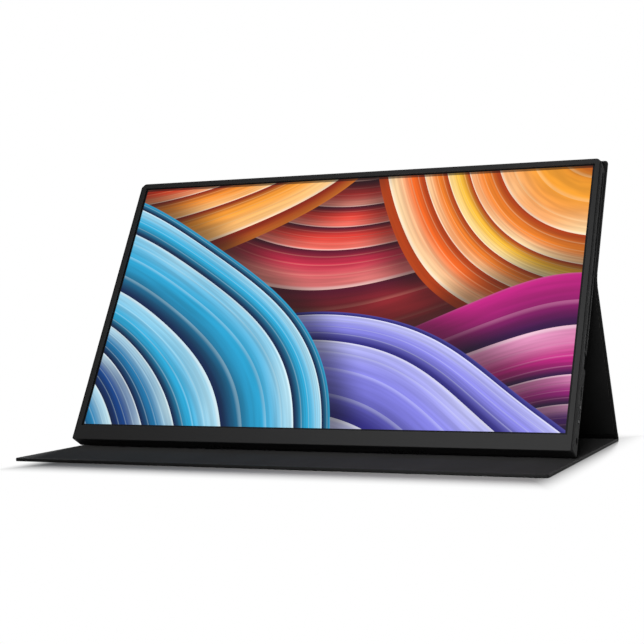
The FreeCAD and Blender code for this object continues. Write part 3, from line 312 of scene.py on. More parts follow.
def calc(tree, operation, *values):
    """Result of a Math node."""
    return add_node(tree, "ShaderNodeMath", dict(enumerate(values)), operation=operation).outputs[0]


def vector_math(tree, operation, values):
    """Outputs of a Vector Math node."""
    return add_node(tree, "ShaderNodeVectorMath", dict(enumerate(values)), operation=operation).outputs


def vector(tree, operation, *values):
    """Vector from a Vector Math node."""
    return vector_math(tree, operation, values)["Vector"]


def measure(tree, operation, *values):
    """Number from a Vector Math node."""
    return vector_math(tree, operation, values)["Value"]


def place_at(tree, x, y):
    """Vector from two numbers."""
    return add_node(tree, "ShaderNodeCombineXYZ", {"X": x, "Y": y}).outputs["Vector"]


def grey(tree, level):
    """Grey colour of a level."""
    return add_node(tree, "ShaderNodeCombineColor", {0: level, 1: level, 2: level}).outputs["Color"]


def ramp_between(tree, value, low, high, to_low=0.0, to_high=1.0):
    """A value carried smoothly from one range to another, and held at its ends."""
    inputs = {"Value": value, "From Min": low, "From Max": high, "To Min": to_low, "To Max": to_high}
    made = add_node(tree, "ShaderNodeMapRange", inputs, interpolation_type="SMOOTHSTEP")
    return made.outputs["Result"]


def scaled(tint, factor, lift=0.0):
    """Colour made darker or paler."""
    return [factor * part + lift for part in tint]


def mix_colours(tree, factor, first, second, blend="MIX"):
    """Colour between two colours."""
    made = add_node(tree, "ShaderNodeMix", data_type="RGBA", blend_type=blend)
    for index, value in ((0, factor), (6, first), (7, second)):
        if isinstance(value, bpy.types.NodeSocket):
            tree.links.new(value, made.inputs[index])
        else:
            made.inputs[index].default_value = value if index == 0 else (*value[:3], 1)
    return made.outputs[2]


def noise(tree, place, scale, detail=2.0, roughness=0.5):
    """Grey noise at a place."""
    inputs = {"Vector": place, "Scale": scale, "Detail": detail, "Roughness": roughness}
    return add_node(tree, "ShaderNodeTexNoise", inputs).outputs["Fac"]


def new_group(name, inputs, outputs):
    """Empty shader node group with named sockets. Returns its tree and the sockets inside it."""
    tree = bpy.data.node_groups.new(name, "ShaderNodeTree")
    kinds = {"float": "NodeSocketFloat", "colour": "NodeSocketColor", "vector": "NodeSocketVector"}
    for socket, kind in inputs:
        tree.interface.new_socket(socket, in_out="INPUT", socket_type=kinds[kind])
    for socket, kind in outputs:
        tree.interface.new_socket(socket, in_out="OUTPUT", socket_type=kinds[kind])
    given = tree.nodes.new("NodeGroupInput").outputs
    result = tree.nodes.new("NodeGroupOutput").inputs
    return tree, given, result


def use_group(tree, group, inputs):
    """Places a group in a tree and returns its outputs."""
    made = tree.nodes.new("ShaderNodeGroup")
    made.node_tree = group
    for name, value in inputs.items():
        if isinstance(value, bpy.types.NodeSocket):
            tree.links.new(value, made.inputs[name])
        else:
            socket = made.inputs[name]
            several = hasattr(value, "__len__")
            socket.default_value = (*value, 1)[: len(socket.default_value)] if several else value
    return made.outputs


def new_material(name):
    """Material with one Principled shader. Returns it, its tree, the shader and the object's coordinates."""
    material = bpy.data.materials.new(name)
    material.use_nodes = True
    tree = material.node_tree
    shader = tree.nodes["Principled BSDF"]
    place = tree.nodes.new("ShaderNodeTexCoord").outputs["Object"]
    return material, tree, shader, place


def set_shader(shader, **values):
    """Sets plain values of a Principled shader by their names in small letters."""
    for name, value in values.items():
        shader.inputs[name.replace("_", " ").title().replace("Ior", "IOR")].default_value = value


def join(tree, shader, links):
    """Links sockets to a shader's inputs."""
    for name, socket in links.items():
        tree.links.new(socket, shader.inputs[name])


def bump(tree, height, strength, distance):
    """Normal from a height in metres."""
    inputs = {"Height": height, "Strength": strength, "Distance": distance}
    return add_node(tree, "ShaderNodeBump", inputs).outputs["Normal"]


def on_display(tree, place):
    """Object coordinates turned to the display: x right, y up the screen, z out of the glass's front."""
    inputs = {"Vector": place, "Location": GLASS_FRONT, "Rotation": (math.pi / 2 - TILT, 0, 0)}
    return add_node(tree, "ShaderNodeMapping", inputs, vector_type="TEXTURE").outputs["Vector"]


# Shared effects


def make_moulded_skin():
    """Spark-eroded moulding texture: a fine even pebble and slow cloudy gloss."""
    tree, given, result = new_group(
        "moulded_skin",
        (("Place", "vector"), ("Grain", "float")),
        (("Height", "float"), ("Cloud", "float")),
    )
    fine = noise(tree, given["Place"], given["Grain"], 3.0, 0.6)
    tree.links.new(fine, result["Height"])
    tree.links.new(noise(tree, given["Place"], 60.0, 3.0), result["Cloud"])
    return tree


def make_edge_wear():
    """Mask of rubbed edges: where a rounded normal leaves the true one, broken up by noise."""
    tree, given, result = new_group(
        "edge_wear",
        (("Place", "vector"), ("Width", "float")),
        (("Mask", "float"),),
    )
    rounded = add_node(tree, "ShaderNodeBevel", {"Radius": given["Width"]}, samples=6).outputs["Normal"]
    true = tree.nodes.new("ShaderNodeNewGeometry").outputs["True Normal"]
    bend = ramp_between(tree, measure(tree, "DOT_PRODUCT", rounded, true), 0.995, 0.85)
    patches = ramp_between(tree, noise(tree, given["Place"], 140.0, 4.0, 0.65), 0.42, 0.68)
    tree.links.new(calc(tree, "MULTIPLY", bend, patches), result["Mask"])
    return tree


def make_leather_grain():
    """Pebbled grain of a coated skin, with finer creases between the pebbles."""
    tree, given, result = new_group(
        "leather_grain",
        (("Place", "vector"), ("Grain", "float")),
        (("Height", "float"), ("Valley", "float"), ("Cloud", "float")),
    )
    warp = add_node(tree, "ShaderNodeTexNoise", {"Vector": given["Place"], "Scale": 420.0}).outputs["Color"]
    shift = vector(tree, "MULTIPLY", warp, (0.0009,) * 3)
    place = vector(tree, "ADD", given["Place"], shift)
    cells = add_node(
        tree,
        "ShaderNodeTexVoronoi",
        {"Vector": place, "Scale": given["Grain"]},
        feature="DISTANCE_TO_EDGE",
    ).outputs["Distance"]
    pebble = ramp_between(tree, cells, 0.0, 0.22)
    tree.links.new(pebble, result["Height"])
    tree.links.new(calc(tree, "SUBTRACT", 1.0, pebble), result["Valley"])
    tree.links.new(noise(tree, given["Place"], 35.0, 3.0), result["Cloud"])
    return tree


def make_cloth_nap():
    """Short nap of a microfibre cloth: fine fibres, and patches brushed one way or the other."""
    tree, given, result = new_group(
        "cloth_nap",
        (("Place", "vector"), ("Grain", "float")),
        (("Height", "float"), ("Brushed", "float")),
    )
    inputs = {"Vector": given["Place"], "Scale": (1.0, 0.45, 1.0)}
    drawn = add_node(tree, "ShaderNodeMapping", inputs).outputs["Vector"]
    tree.links.new(noise(tree, drawn, given["Grain"], 4.0, 0.7), result["Height"])
    tree.links.new(noise(tree, drawn, 28.0, 4.0, 0.6), result["Brushed"])
    return tree


def make_paper_fan():
    """Fan of curved paper bands round a centre. Each band is lit at its outer edge and shades the next."""
    tree, given, result = new_group(
        "paper_fan",
        (
            ("Place", "vector"),
            ("Centre", "vector"),
            ("Reach", "float"),
            ("Bands", "float"),
            ("Sway", "float"),
            ("Deep", "colour"),
            ("Inner", "colour"),
            ("Outer", "colour"),
            ("Bright", "colour"),
        ),
        (("Colour", "colour"), ("Mask", "float"), ("Shade", "float")),
    )
    arm = vector(tree, "SUBTRACT", given["Place"], given["Centre"])
    away = measure(tree, "LENGTH", arm)
    parts = add_node(tree, "ShaderNodeSeparateXYZ", {0: arm}).outputs
    turn = calc(tree, "ARCTAN2", parts["Y"], parts["X"])
    swing = calc(tree, "SINE", calc(tree, "MULTIPLY", turn, 3.0))
    slow = calc(tree, "SUBTRACT", noise(tree, given["Place"], 1.0, 0.0), 0.5)
    swing = calc(tree, "ADD", calc(tree, "MULTIPLY", swing, 0.30), calc(tree, "MULTIPLY", slow, 2.6))
    reach = calc(tree, "ADD", away, calc(tree, "MULTIPLY", swing, given["Sway"]))
    # Bands get narrower and wider along the fan
    pace = calc(tree, "SINE", calc(tree, "MULTIPLY", reach, 9.0))
    paced = calc(tree, "ADD", reach, calc(tree, "MULTIPLY", pace, 0.07))
    counted = calc(tree, "MULTIPLY", paced, given["Bands"])
    across = calc(tree, "FRACT", counted)
    band = calc(tree, "FLOOR", counted)
    depth = calc(tree, "DIVIDE", reach, given["Reach"])
    # Each band has a tint of its own, and light that comes and goes along it
    own = add_node(tree, "ShaderNodeTexWhiteNoise", {"W": band}, noise_dimensions="1D").outputs["Value"]
    tint = calc(tree, "ADD", depth, calc(tree, "MULTIPLY", calc(tree, "SUBTRACT", own, 0.5), 0.7))
    base = mix_colours(tree, ramp_between(tree, tint, 0.3, 1.0), given["Inner"], given["Outer"])
    run = place_at(tree, calc(tree, "MULTIPLY", turn, 1.7), calc(tree, "MULTIPLY", band, 3.7))
    light = ramp_between(tree, noise(tree, run, 1.0, 1.0), 0.30, 0.70, 0.35, 1.0)
    lit = mix_colours(tree, ramp_between(tree, across, 0.0, 0.50), given["Deep"], base)
    shine = calc(tree, "MULTIPLY", ramp_between(tree, across, 0.42, 0.98), light)
    lit = mix_colours(tree, calc(tree, "MULTIPLY", shine, 0.85), lit, given["Bright"])
    crest = calc(tree, "MULTIPLY", ramp_between(tree, across, 0.93, 0.99), 0.45)
    lit = mix_colours(tree, crest, lit, (1.0, 0.98, 0.95))
    # Fine ribs and brush marks run along the bands
    rib = ramp_between(tree, calc(tree, "FRACT", calc(tree, "MULTIPLY", counted, 4.0)), 0.80, 0.97)
    lit = mix_colours(tree, calc(tree, "MULTIPLY", rib, 0.22), lit, given["Bright"])
    brush = place_at(tree, calc(tree, "MULTIPLY", paced, 90.0), calc(tree, "MULTIPLY", turn, 2.2))
    streak = ramp_between(tree, noise(tree, brush, 1.0, 2.0), 0.3, 0.7, 0.84, 1.10)
    tree.links.new(mix_colours(tree, 1.0, lit, grey(tree, streak), "MULTIPLY"), result["Colour"])
    outside = calc(tree, "SUBTRACT", reach, given["Reach"])
    tree.links.new(ramp_between(tree, outside, 0.0015, -0.0015), result["Mask"])
    tree.links.new(ramp_between(tree, outside, 0.0, 0.16, 0.30, 1.0), result["Shade"])
    return tree


GROUP_MAKERS = (make_moulded_skin, make_edge_wear, make_leather_grain, make_cloth_nap, make_paper_fan)


def effect(name):
    """A shared effect, made when it is first asked for."""
    if name not in bpy.data.node_groups:
        for maker in GROUP_MAKERS:
            if maker.__name__ == f"make_{name}":
                maker()
    return bpy.data.node_groups[name]


# Finishes


def moulded_plastic(name, tint, grain=5200.0, rough=0.76, gloss=0.12):
    """Matte moulded plastic with a fine texture, cloudy gloss and paler rubbed edges."""
    material, tree, shader, place = new_material(name)
    skin = use_group(tree, effect("moulded_skin"), {"Place": place, "Grain": grain})
    worn = use_group(tree, effect("edge_wear"), {"Place": place, "Width": 0.0004})["Mask"]
    cloudy = mix_colours(tree, skin["Cloud"], scaled(tint, 0.86), scaled(tint, 1.14))
    amount = calc(tree, "MULTIPLY", worn, settings().casing.wear)
    pale = scaled(tint, 2.6, 0.006)
    join(
        tree,
        shader,
        {
            "Base Color": mix_colours(tree, amount, cloudy, pale),
            "Roughness": ramp_between(tree, skin["Cloud"], 0.25, 0.75, rough - 0.05, rough + 0.06),
            "Normal": bump(tree, skin["Height"], 0.35, 0.00006),
        },
    )
    set_shader(shader, specular_ior_level=gloss)
    return material


def folio_skin():
    """Coated skin with a pebbled grain, darker in its valleys and paler on rubbed edges."""
    tint = settings().folio.skin_colour
    material, tree, shader, place = new_material("folio_skin")
    grain = use_group(tree, effect("leather_grain"), {"Place": place, "Grain": 1500.0})
    worn = use_group(tree, effect("edge_wear"), {"Place": place, "Width": 0.0005})["Mask"]
    cloudy = mix_colours(tree, grain["Cloud"], scaled(tint, 0.8), scaled(tint, 1.25))
    deep = mix_colours(tree, calc(tree, "MULTIPLY", grain["Valley"], 0.40), cloudy, (0.003, 0.003, 0.003))
    pale = scaled(tint, 2.2, 0.004)
    join(
        tree,
        shader,
        {
            "Base Color": mix_colours(tree, calc(tree, "MULTIPLY", worn, 0.12), deep, pale),
            "Roughness": ramp_between(tree, grain["Valley"], 0.0, 1.0, 0.50, 0.68),
            "Normal": bump(tree, grain["Height"], 0.45, 0.00009),
        },
    )
    set_shader(shader, specular_ior_level=0.06)
    return material


def folio_lining():
    """Short-napped microfibre cloth."""
    tint = settings().folio.lining_colour
    material, tree, shader, place = new_material("folio_lining")
    nap = use_group(tree, effect("cloth_nap"), {"Place": place, "Grain": 2600.0})
    brushed = ramp_between(tree, nap["Brushed"], 0.3, 0.7)
    cloudy = mix_colours(tree, brushed, scaled(tint, 0.86), scaled(tint, 1.12))
    fibre = ramp_between(tree, nap["Height"], 0.3, 0.75, 0.0, 0.35)
    join(
        tree,
        shader,
        {
            "Base Color": mix_colours(tree, fibre, cloudy, scaled(tint, 1.7)),
            "Normal": bump(tree, nap["Height"], 0.5, 0.00012),
        },
    )
    set_shader(shader, roughness=0.95, specular_ior_level=0.0, sheen_weight=0.13, sheen_roughness=0.4)
    return material


BLACK = (0.0, 0.0, 0.0)
# Painted shade: how much of the picture's light the painted shadow of the bezel's lip takes away along its top
# edge
LIP_SHADOW_DARKENING = 0.75  # Share of light that the strip along the picture's top edge loses

# The picture's fans from the back to the front, measured in picture heights from the lower left corner:
# centre, reach and sway, then deep, inner, outer and bright colours
FANS = (
    (
        ((0.85, 1.45, 0), 2.2, 0.10),
        ((0.10, 0.0, 0.02), (0.85, 0.05, 0.03), (0.42, 0.0, 0.09), (1.0, 0.42, 0.32)),
    ),
    (
        ((1.95, 1.22, 0), 0.98, 0.12),
        ((0.42, 0.04, 0.0), (1.0, 0.55, 0.04), (0.92, 0.14, 0.01), (1.0, 0.86, 0.50)),
    ),
    (
        ((0.05, 1.60, 0), 1.00, 0.12),
        ((0.26, 0.01, 0.0), (0.72, 0.03, 0.0), (1.0, 0.36, 0.03), (1.0, 0.74, 0.36)),
    ),
    (
        ((1.70, -0.60, 0), 1.10, 0.12),
        ((0.03, 0.0, 0.06), (0.10, 0.0, 0.22), (0.55, 0.01, 0.22), (0.95, 0.42, 0.68)),
    ),
    (
        ((0.92, -0.95, 0), 1.34, 0.12),
        ((0.02, 0.015, 0.20), (0.04, 0.04, 0.50), (0.26, 0.25, 0.84), (0.82, 0.85, 1.0)),
    ),
    (
        ((-0.30, -0.42, 0), 1.36, 0.14),
        ((0.0, 0.01, 0.06), (0.0, 0.05, 0.24), (0.02, 0.42, 0.72), (0.70, 0.93, 0.97)),
    ),
)


def fan_picture(tree, page, bands):
    """Colour of the fans, each of which lies on those before it and shades them."""
    picture = None
    for shape, colours in FANS:
        inputs = {"Place": page, "Bands": bands}
        inputs.update(zip(("Centre", "Reach", "Sway"), shape))
        inputs.update(zip(("Deep", "Inner", "Outer", "Bright"), colours))
        fan = use_group(tree, effect("paper_fan"), inputs)
        if picture is None:
            picture = fan["Colour"]
            continue
        picture = mix_colours(tree, 1.0, picture, grey(tree, fan["Shade"]), "MULTIPLY")
        picture = mix_colours(tree, fan["Mask"], picture, fan["Colour"])
    return picture


def screen_picture():
    """Matte glass with a glowing picture, a painted shadow of the bezel's lip along the picture's top edge, and a
    black border round it.
    """
    wanted = settings().picture
    material, tree, shader, place = new_material("screen_picture")
    width = GLASS_WIDTH - 2 * wanted.margin
    height = GLASS_HEIGHT - wanted.head - wanted.foot
    corner = (-width / 2, wanted.foot - GLASS_HEIGHT / 2, 0)
    from_corner = vector(tree, "SUBTRACT", on_display(tree, place), corner)
    page = vector(tree, "MULTIPLY", from_corner, (1 / height, 1 / height, 0))
    picture = fan_picture(tree, page, wanted.bands)
    across, up = add_node(tree, "ShaderNodeSeparateXYZ", {0: page}).outputs[:2]
    inside = 1.0
    for value, high in ((across, width / height), (up, 1.0)):
        inside = calc(tree, "MULTIPLY", inside, calc(tree, "GREATER_THAN", value, 0.0))
        inside = calc(tree, "MULTIPLY", inside, calc(tree, "LESS_THAN", value, high))
    # Painted shadow of the bezel's lip: a darker strip along the picture's top edge
    in_lip_shadow = calc(tree, "GREATER_THAN", up, 1.0 - wanted.lip_shadow_strip / height)
    picture = mix_colours(tree, calc(tree, "MULTIPLY", in_lip_shadow, LIP_SHADOW_DARKENING), picture, BLACK)
    join(tree, shader, {"Emission Color": mix_colours(tree, inside, BLACK, picture)})
    set_shader(shader, base_color=(0.009, 0.009, 0.010, 1), roughness=0.38, specular_ior_level=0.12)
    set_shader(shader, emission_strength=wanted.brightness)
    return material


def metal(name, tint, rough):
    """Plated or bare metal with slow stains and fine brushing."""
    material, tree, shader, place = new_material(name)
    stains = noise(tree, place, 90.0, 4.0, 0.6)
    inputs = {"Vector": place, "Scale": (1.0, 14.0, 14.0)}
    drawn = add_node(tree, "ShaderNodeMapping", inputs).outputs["Vector"]
    brushing = noise(tree, drawn, 900.0, 3.0)
    join(
        tree,
        shader,
        {
            "Base Color": mix_colours(tree, stains, scaled(tint, 0.8), tint),
            "Roughness": ramp_between(tree, brushing, 0.2, 0.8, rough - 0.08, rough + 0.12),
            "Normal": bump(tree, brushing, 0.15, 0.00003),
        },
    )
    set_shader(shader, metallic=1.0)
    return material


def plain_sheet(name, tint, rough, gloss=0.3):
    """Foam, film or board with a faint mottle."""
    material, tree, shader, place = new_material(name)
    mottle = noise(tree, place, 700.0, 4.0, 0.65)
    join(
        tree,
        shader,
        {
            "Base Color": mix_colours(tree, mottle, scaled(tint, 0.85), tint),
            "Normal": bump(tree, mottle, 0.3, 0.00005),
        },
    )
    set_shader(shader, roughness=rough, specular_ior_level=gloss)
    return material


def circuit_board():
    """Solder mask over copper tracks."""
    material, tree, shader, place = new_material("circuit_board")
    inputs = {"Vector": on_display(tree, place), "Scale": 420.0, "Randomness": 0.35}
    cells = add_node(tree, "ShaderNodeTexVoronoi", inputs, distance="MANHATTAN", feature="DISTANCE_TO_EDGE")
    tracks = ramp_between(tree, cells.outputs["Distance"], 0.06, 0.10, 1.0, 0.0)
    join(
        tree,
        shader,
        {
            "Base Color": mix_colours(tree, tracks, (0.006, 0.055, 0.022), (0.02, 0.13, 0.05)),
            "Normal": bump(tree, tracks, 0.5, 0.00004),
        },
    )
    set_shader(shader, roughness=0.35)
    return material


# Folio pieces

NEAR = 1e-6
FOLD_STEPS = 14
FOLD_THINNEST = 0.45  # Share of the folio's thickness that a fold keeps in its middle


def tray(name, panel, start, end, free_end):
    """Skin of one panel: a slab with soft edges, round free corners and a bed for board and lining."""
    wanted = settings().folio
    half = FOLIO_WIDTH / 2
    piece = slab(name, (-half, start, 0), (half, end, FOLIO))

    def at_free_end(place):
        return free_end is not None and abs(place.y - free_end) < NEAR

    if free_end is not None:
        pick_edges(piece, lambda a, b: at_free_end(a) and at_free_end(b) and abs(a.x - b.x) < NEAR)
        bpy.ops.mesh.bevel(offset=wanted.corner, segments=6, affect="EDGES")
    joined_ends = [place for place in (start, end) if place != free_end]

    def soft_edge(a, b):
        level = abs(a.z - b.z) < NEAR
        at_joint = any(abs(a.y - place) < NEAR and abs(b.y - place) < NEAR for place in joined_ends)
        return level and not at_joint and (a.z < NEAR or a.z > FOLIO - NEAR)

    pick_edges(piece, soft_edge)
    bpy.ops.mesh.bevel(offset=wanted.edge_round, segments=3, affect="EDGES")
    bed_start, bed_end = bed_limits(panel)
    bed_half = half - wanted.rim
    cutter = slab("bed", (-bed_half, bed_start, wanted.skin), (bed_half, bed_end, 2 * FOLIO))
    cut_away(piece, cutter)
    smooth(piece)
    put_in_place(piece, PANELS[panel])
    return piece


def bed_limits(panel):
    """Start and end of the bed for board and lining along a panel."""
    wanted = settings().folio
    if panel == "floor":
        return FLOOR_FRONT + wanted.rim, -wanted.land
    if panel == "leg":
        return wanted.land, LEG_LENGTH - wanted.land - wanted.rim
    return wanted.land + wanted.rim, UPPER_TOP - wanted.rim


def lining_sheet(name, panel):
    """Inner cloth of one panel, glued on the board, with soft pressed-down edges."""
    wanted = settings().folio
    start, end = bed_limits(panel)
    half = FOLIO_WIDTH / 2 - wanted.rim - wanted.lining_gap
    start, end = start + wanted.lining_gap, end - wanted.lining_gap
    piece = slab(name, (-half, start, FOLIO - wanted.lining), (half, end, FOLIO))
    top = FOLIO - NEAR
    pick_edges(piece, lambda a, b: a.z > top and b.z > top)
    bpy.ops.mesh.bevel(offset=wanted.lining / 2, segments=3, affect="EDGES")
    smooth(piece)
    put_in_place(piece, PANELS[panel])
    return piece


def fold_strip(name, before, after, bend_start, turn, centre):
    """Soft strip of skin through a fold: straight, round the bend and straight again, thinner in its middle.

    before and after are the strip's two ends on the panels' outer faces. bend_start is where the bend begins,
    and turn its angle about the centre.
    """
    leave_edit_mode()
    half = FOLIO_WIDTH / 2
    bpy.ops.mesh.primitive_plane_add(size=1, location=(0, 0, 0))
    piece = named(name)
    corners = ((-half, before), (half, before), (-half, bend_start), (half, bend_start))
    for corner, (x, place) in zip(piece.data.vertices, corners):
        corner.co = (x, place.y, place.z)
    pick_edges(piece, lambda a, b: (a - b).x != 0 and min((p - bend_start).yz.length for p in (a, b)) < NEAR)
    bpy.ops.mesh.spin(steps=FOLD_STEPS, angle=-turn, center=centre, axis=(1, 0, 0))
    bend_end = centre + Matrix.Rotation(turn, 3, "X") @ (bend_start - centre)
    bpy.ops.mesh.extrude_region_move(TRANSFORM_OT_translate={"value": after - bend_end})
    leave_edit_mode()
    thin = piece.vertex_groups.new(name="thickness")
    run = after - before
    for corner in piece.data.vertices:
        along = (corner.co - before).dot(run) / run.length_squared
        thin.add([corner.index], min(1.0, abs(2 * along - 1) ** 1.5), "REPLACE")
    return piece


def finish_strip(piece, inward):
    """Gives a fold strip its thickness."""
    pick_piece(piece)
    bpy.ops.object.mode_set(mode="EDIT")
    bpy.ops.mesh.select_all(action="SELECT")
    bpy.ops.mesh.normals_make_consistent(inside=False)
    leave_edit_mode()
    facing = sum((face.normal.dot(inward) for face in piece.data.polygons), 0.0)
    apply_modifier(
        piece,
        "SOLIDIFY",
        thickness=FOLIO,
        offset=1.0 if facing > 0 else -1.0,
        vertex_group="thickness",
        thickness_vertex_group=FOLD_THINNEST,
        use_even_offset=True,
    )
    smooth(piece, 50)
    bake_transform(piece)
    return piece


def on_panel(panel, along):
    """Point on a panel's outer face, in the middle from left to right."""
    return PANELS[panel] @ Vector((0, along, 0))


def make_rear_fold():
    """Strip round the rear fold, from the floor panel to the leg."""
    wanted = settings().folio
    before, after = on_panel("floor", -wanted.land), on_panel("leg", wanted.land)
    apex = Vector((0, REAR_FOLD.y + FOLIO / 2 * (1 + SIN) / COS, 0))
    turn = math.pi / 2 + TILT
    set_back = wanted.fold_radius * math.tan(turn / 2)
    bend_start = apex - Vector((0, set_back, 0))
    centre = bend_start + Vector((0, 0, wanted.fold_radius))
    piece = fold_strip("rear_fold_skin", before, after, bend_start, turn, centre)
    return finish_strip(piece, centre - apex)


def make_upper_crease():
    """Strip through the upper crease, from the leg to the upper panel."""
    wanted = settings().folio
    before = on_panel("leg", LEG_LENGTH - wanted.land)
    after = on_panel("upper", wanted.land)
    leg_up = LEG_RUN.normalized()
    reach = (after - before).length / 2 / math.cos(TILT)
    apex = before + leg_up * reach
    set_back = min(wanted.crease_radius * math.tan(TILT), reach * 0.98)
    bend_start = apex - leg_up * set_back
    centre = bend_start + LEG_OUT * set_back / math.tan(TILT)
    piece = fold_strip("upper_crease_skin", before, after, bend_start, -2 * TILT, centre)
    return finish_strip(piece, apex - centre)


class MONITOR_OT_folio_skin(bpy.types.Operator):
    """Makes the skin of the three panels and the two bending strips between them"""

    bl_idname = "monitor.folio_skin"
    bl_label = "Folio Skin"

    def execute(self, context):
        wanted = settings().folio
        material = folio_skin()
        trays = (
            ("floor", "floor_panel", FLOOR_FRONT, -wanted.land, FLOOR_FRONT),
            ("leg", "leg", wanted.land, LEG_LENGTH - wanted.land, None),
            ("upper", "display", wanted.land, UPPER_TOP, UPPER_TOP),
        )
        for panel, body, start, end, free_end in trays:
            piece = tray(f"{panel}_skin", panel, start, end, free_end)
            dress(piece, material)
            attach(piece, body)
            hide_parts(f"{panel}_leather")
        for piece in (make_rear_fold(), make_upper_crease()):
            dress(piece, material)
        return {"FINISHED"}


class MONITOR_OT_folio_lining(bpy.types.Operator):
    """Makes the inner cloth of the three panels"""

    bl_idname = "monitor.folio_lining"
    bl_label = "Folio Lining"

    def execute(self, context):
        material = folio_lining()
        for panel, body in (("floor", "floor_panel"), ("leg", "leg"), ("upper", "display")):
            piece = lining_sheet(f"{panel}_cloth", panel)
            dress(piece, material)
            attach(piece, body)
            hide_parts(f"{panel}_lining")
        return {"FINISHED"}


class MONITOR_OT_screen(bpy.types.Operator):
    """Puts the picture on the glass"""

    bl_idname = "monitor.screen"
    bl_label = "Screen Picture"

    def execute(self, context):
        dress(frame["nodes"]["lcd_glass"], screen_picture())
        return {"FINISHED"}


class MONITOR_OT_casing(bpy.types.Operator):
    """Finishes the front frame, the rear housing and the keys"""

    bl_idname = "monitor.casing"
    bl_label = "Casing"

    def execute(self, context):
        wanted = settings().casing
        nodes = frame["nodes"]
        dress(nodes["front_frame"], moulded_plastic("bezel_plastic", wanted.bezel_colour))
        dress(nodes["rear_housing"], moulded_plastic("housing_plastic", wanted.housing_colour))
        keys = moulded_plastic("key_plastic", wanted.key_colour, grain=9000.0, rough=0.6, gloss=0.15)
        for name in ("menu_rocker", "power_key"):
            dress(nodes[name], keys)
        return {"FINISHED"}


class MONITOR_OT_inner_parts(bpy.types.Operator):
    """Finishes sockets, screws and everything inside the casing and the folio"""

    bl_idname = "monitor.inner_parts"
    bl_label = "Sockets and Inner Parts"

    def execute(self, context):
        finishes = {
            "foam_tape": plain_sheet("foam_tape", (0.006, 0.006, 0.006), 0.9),
            "clear_acrylic": plain_sheet("clear_acrylic", (0.010, 0.011, 0.0125), 0.70, 0.05),
            "white_film": plain_sheet("white_film", (0.8, 0.8, 0.8), 0.5),
            "sheet_metal": metal("sheet_metal", (0.62, 0.63, 0.64), 0.35),
            "socket_metal": metal("socket_metal", (0.22, 0.22, 0.225), 0.40),
            "magnet_steel": metal("magnet_steel", (0.55, 0.55, 0.55), 0.3),
            "screw_steel": metal("screw_steel", (0.06, 0.06, 0.06), 0.4),
            "circuit_board": circuit_board(),
            "black_plastic": moulded_plastic("black_plastic", (0.012, 0.012, 0.012)),
            "flat_cable": plain_sheet("flat_cable", (0.40, 0.20, 0.04), 0.3),
            "folio_board": plain_sheet("folio_board", (0.30, 0.28, 0.25), 0.9),
        }
        slots = {part["node"]: part["material_slot"] for part in frame["record"]["subparts"]}
        for name, node in frame["nodes"].items():
            if slots[name] in finishes:
                dress(node, finishes[slots[name]])
        # Painted shade: the video socket gets a darker copy of the socket metal, which stands in for the shade in
        # its mouth
        dress(frame["nodes"]["video_socket"], metal("shaded_video_shell", (0.05, 0.05, 0.052), 0.45))
        return {"FINISHED"}


# Stage

# Each lamp's place, the point that it faces, its width and its height
KEY_LAMP = ((0.18, -0.30, 0.18), (0.08, 0, 0.06), 0.14, 0.14)
TOP_LAMP = ((-0.28, 2.27, 2.25), (0, -0.10, 0), 0.30, 0.40)
SKY_FROM = (0.0, -0.35, 0.94)


def camera_axes():
    """Right, up and back directions of the camera."""
    wanted = settings().stage
    turn, rise, roll = wanted.azimuth, wanted.elevation, wanted.roll
    back = Vector((math.sin(turn) * math.cos(rise), -math.cos(turn) * math.cos(rise), math.sin(rise)))
    level = Vector((math.cos(turn), math.sin(turn), 0))
    upright = back.cross(level)
    right = math.cos(roll) * level + math.sin(roll) * upright
    up = math.cos(roll) * upright - math.sin(roll) * level
    return right, up, back


def add_camera():
    """Camera at the photograph's place, with its framing."""
    wanted = settings().stage
    right, up, back = camera_axes()
    place = right * wanted.aside + up * wanted.above + back * wanted.distance
    bpy.ops.object.camera_add()
    camera = bpy.context.object
    camera.name = "camera"
    turned = Matrix((right, up, back)).transposed().to_4x4()
    camera.matrix_world = Matrix.Translation(place) @ turned
    camera.data.sensor_width = 36.0
    camera.data.lens = camera.data.sensor_width * wanted.focal
    camera.data.shift_x = 0.5 - wanted.middle_x
    camera.data.shift_y = wanted.middle_y - 0.5
    camera.data.clip_start, camera.data.clip_end = 0.01, 100.0
    bpy.context.scene.camera = camera


def add_lamp(name, place, target, width, height, power):
    """Soft rectangular lamp that faces a point."""
    bpy.ops.object.light_add(type="AREA", location=place)
    lamp = bpy.context.object
    lamp.name = name
    lamp.rotation_euler = (Vector(target) - Vector(place)).to_track_quat("-Z", "Y").to_euler()
    lamp.data.shape = "RECTANGLE"
    lamp.data.size, lamp.data.size_y = width, height
    lamp.data.energy = power


def seen_rays(tree):
    """1 for rays from the camera, also by way of gloss and glass."""
    path = tree.nodes.new("ShaderNodeLightPath").outputs
    seen = calc(tree, "MAXIMUM", path["Is Camera Ray"], path["Is Glossy Ray"])
    return calc(tree, "MAXIMUM", seen, path["Is Transmission Ray"])


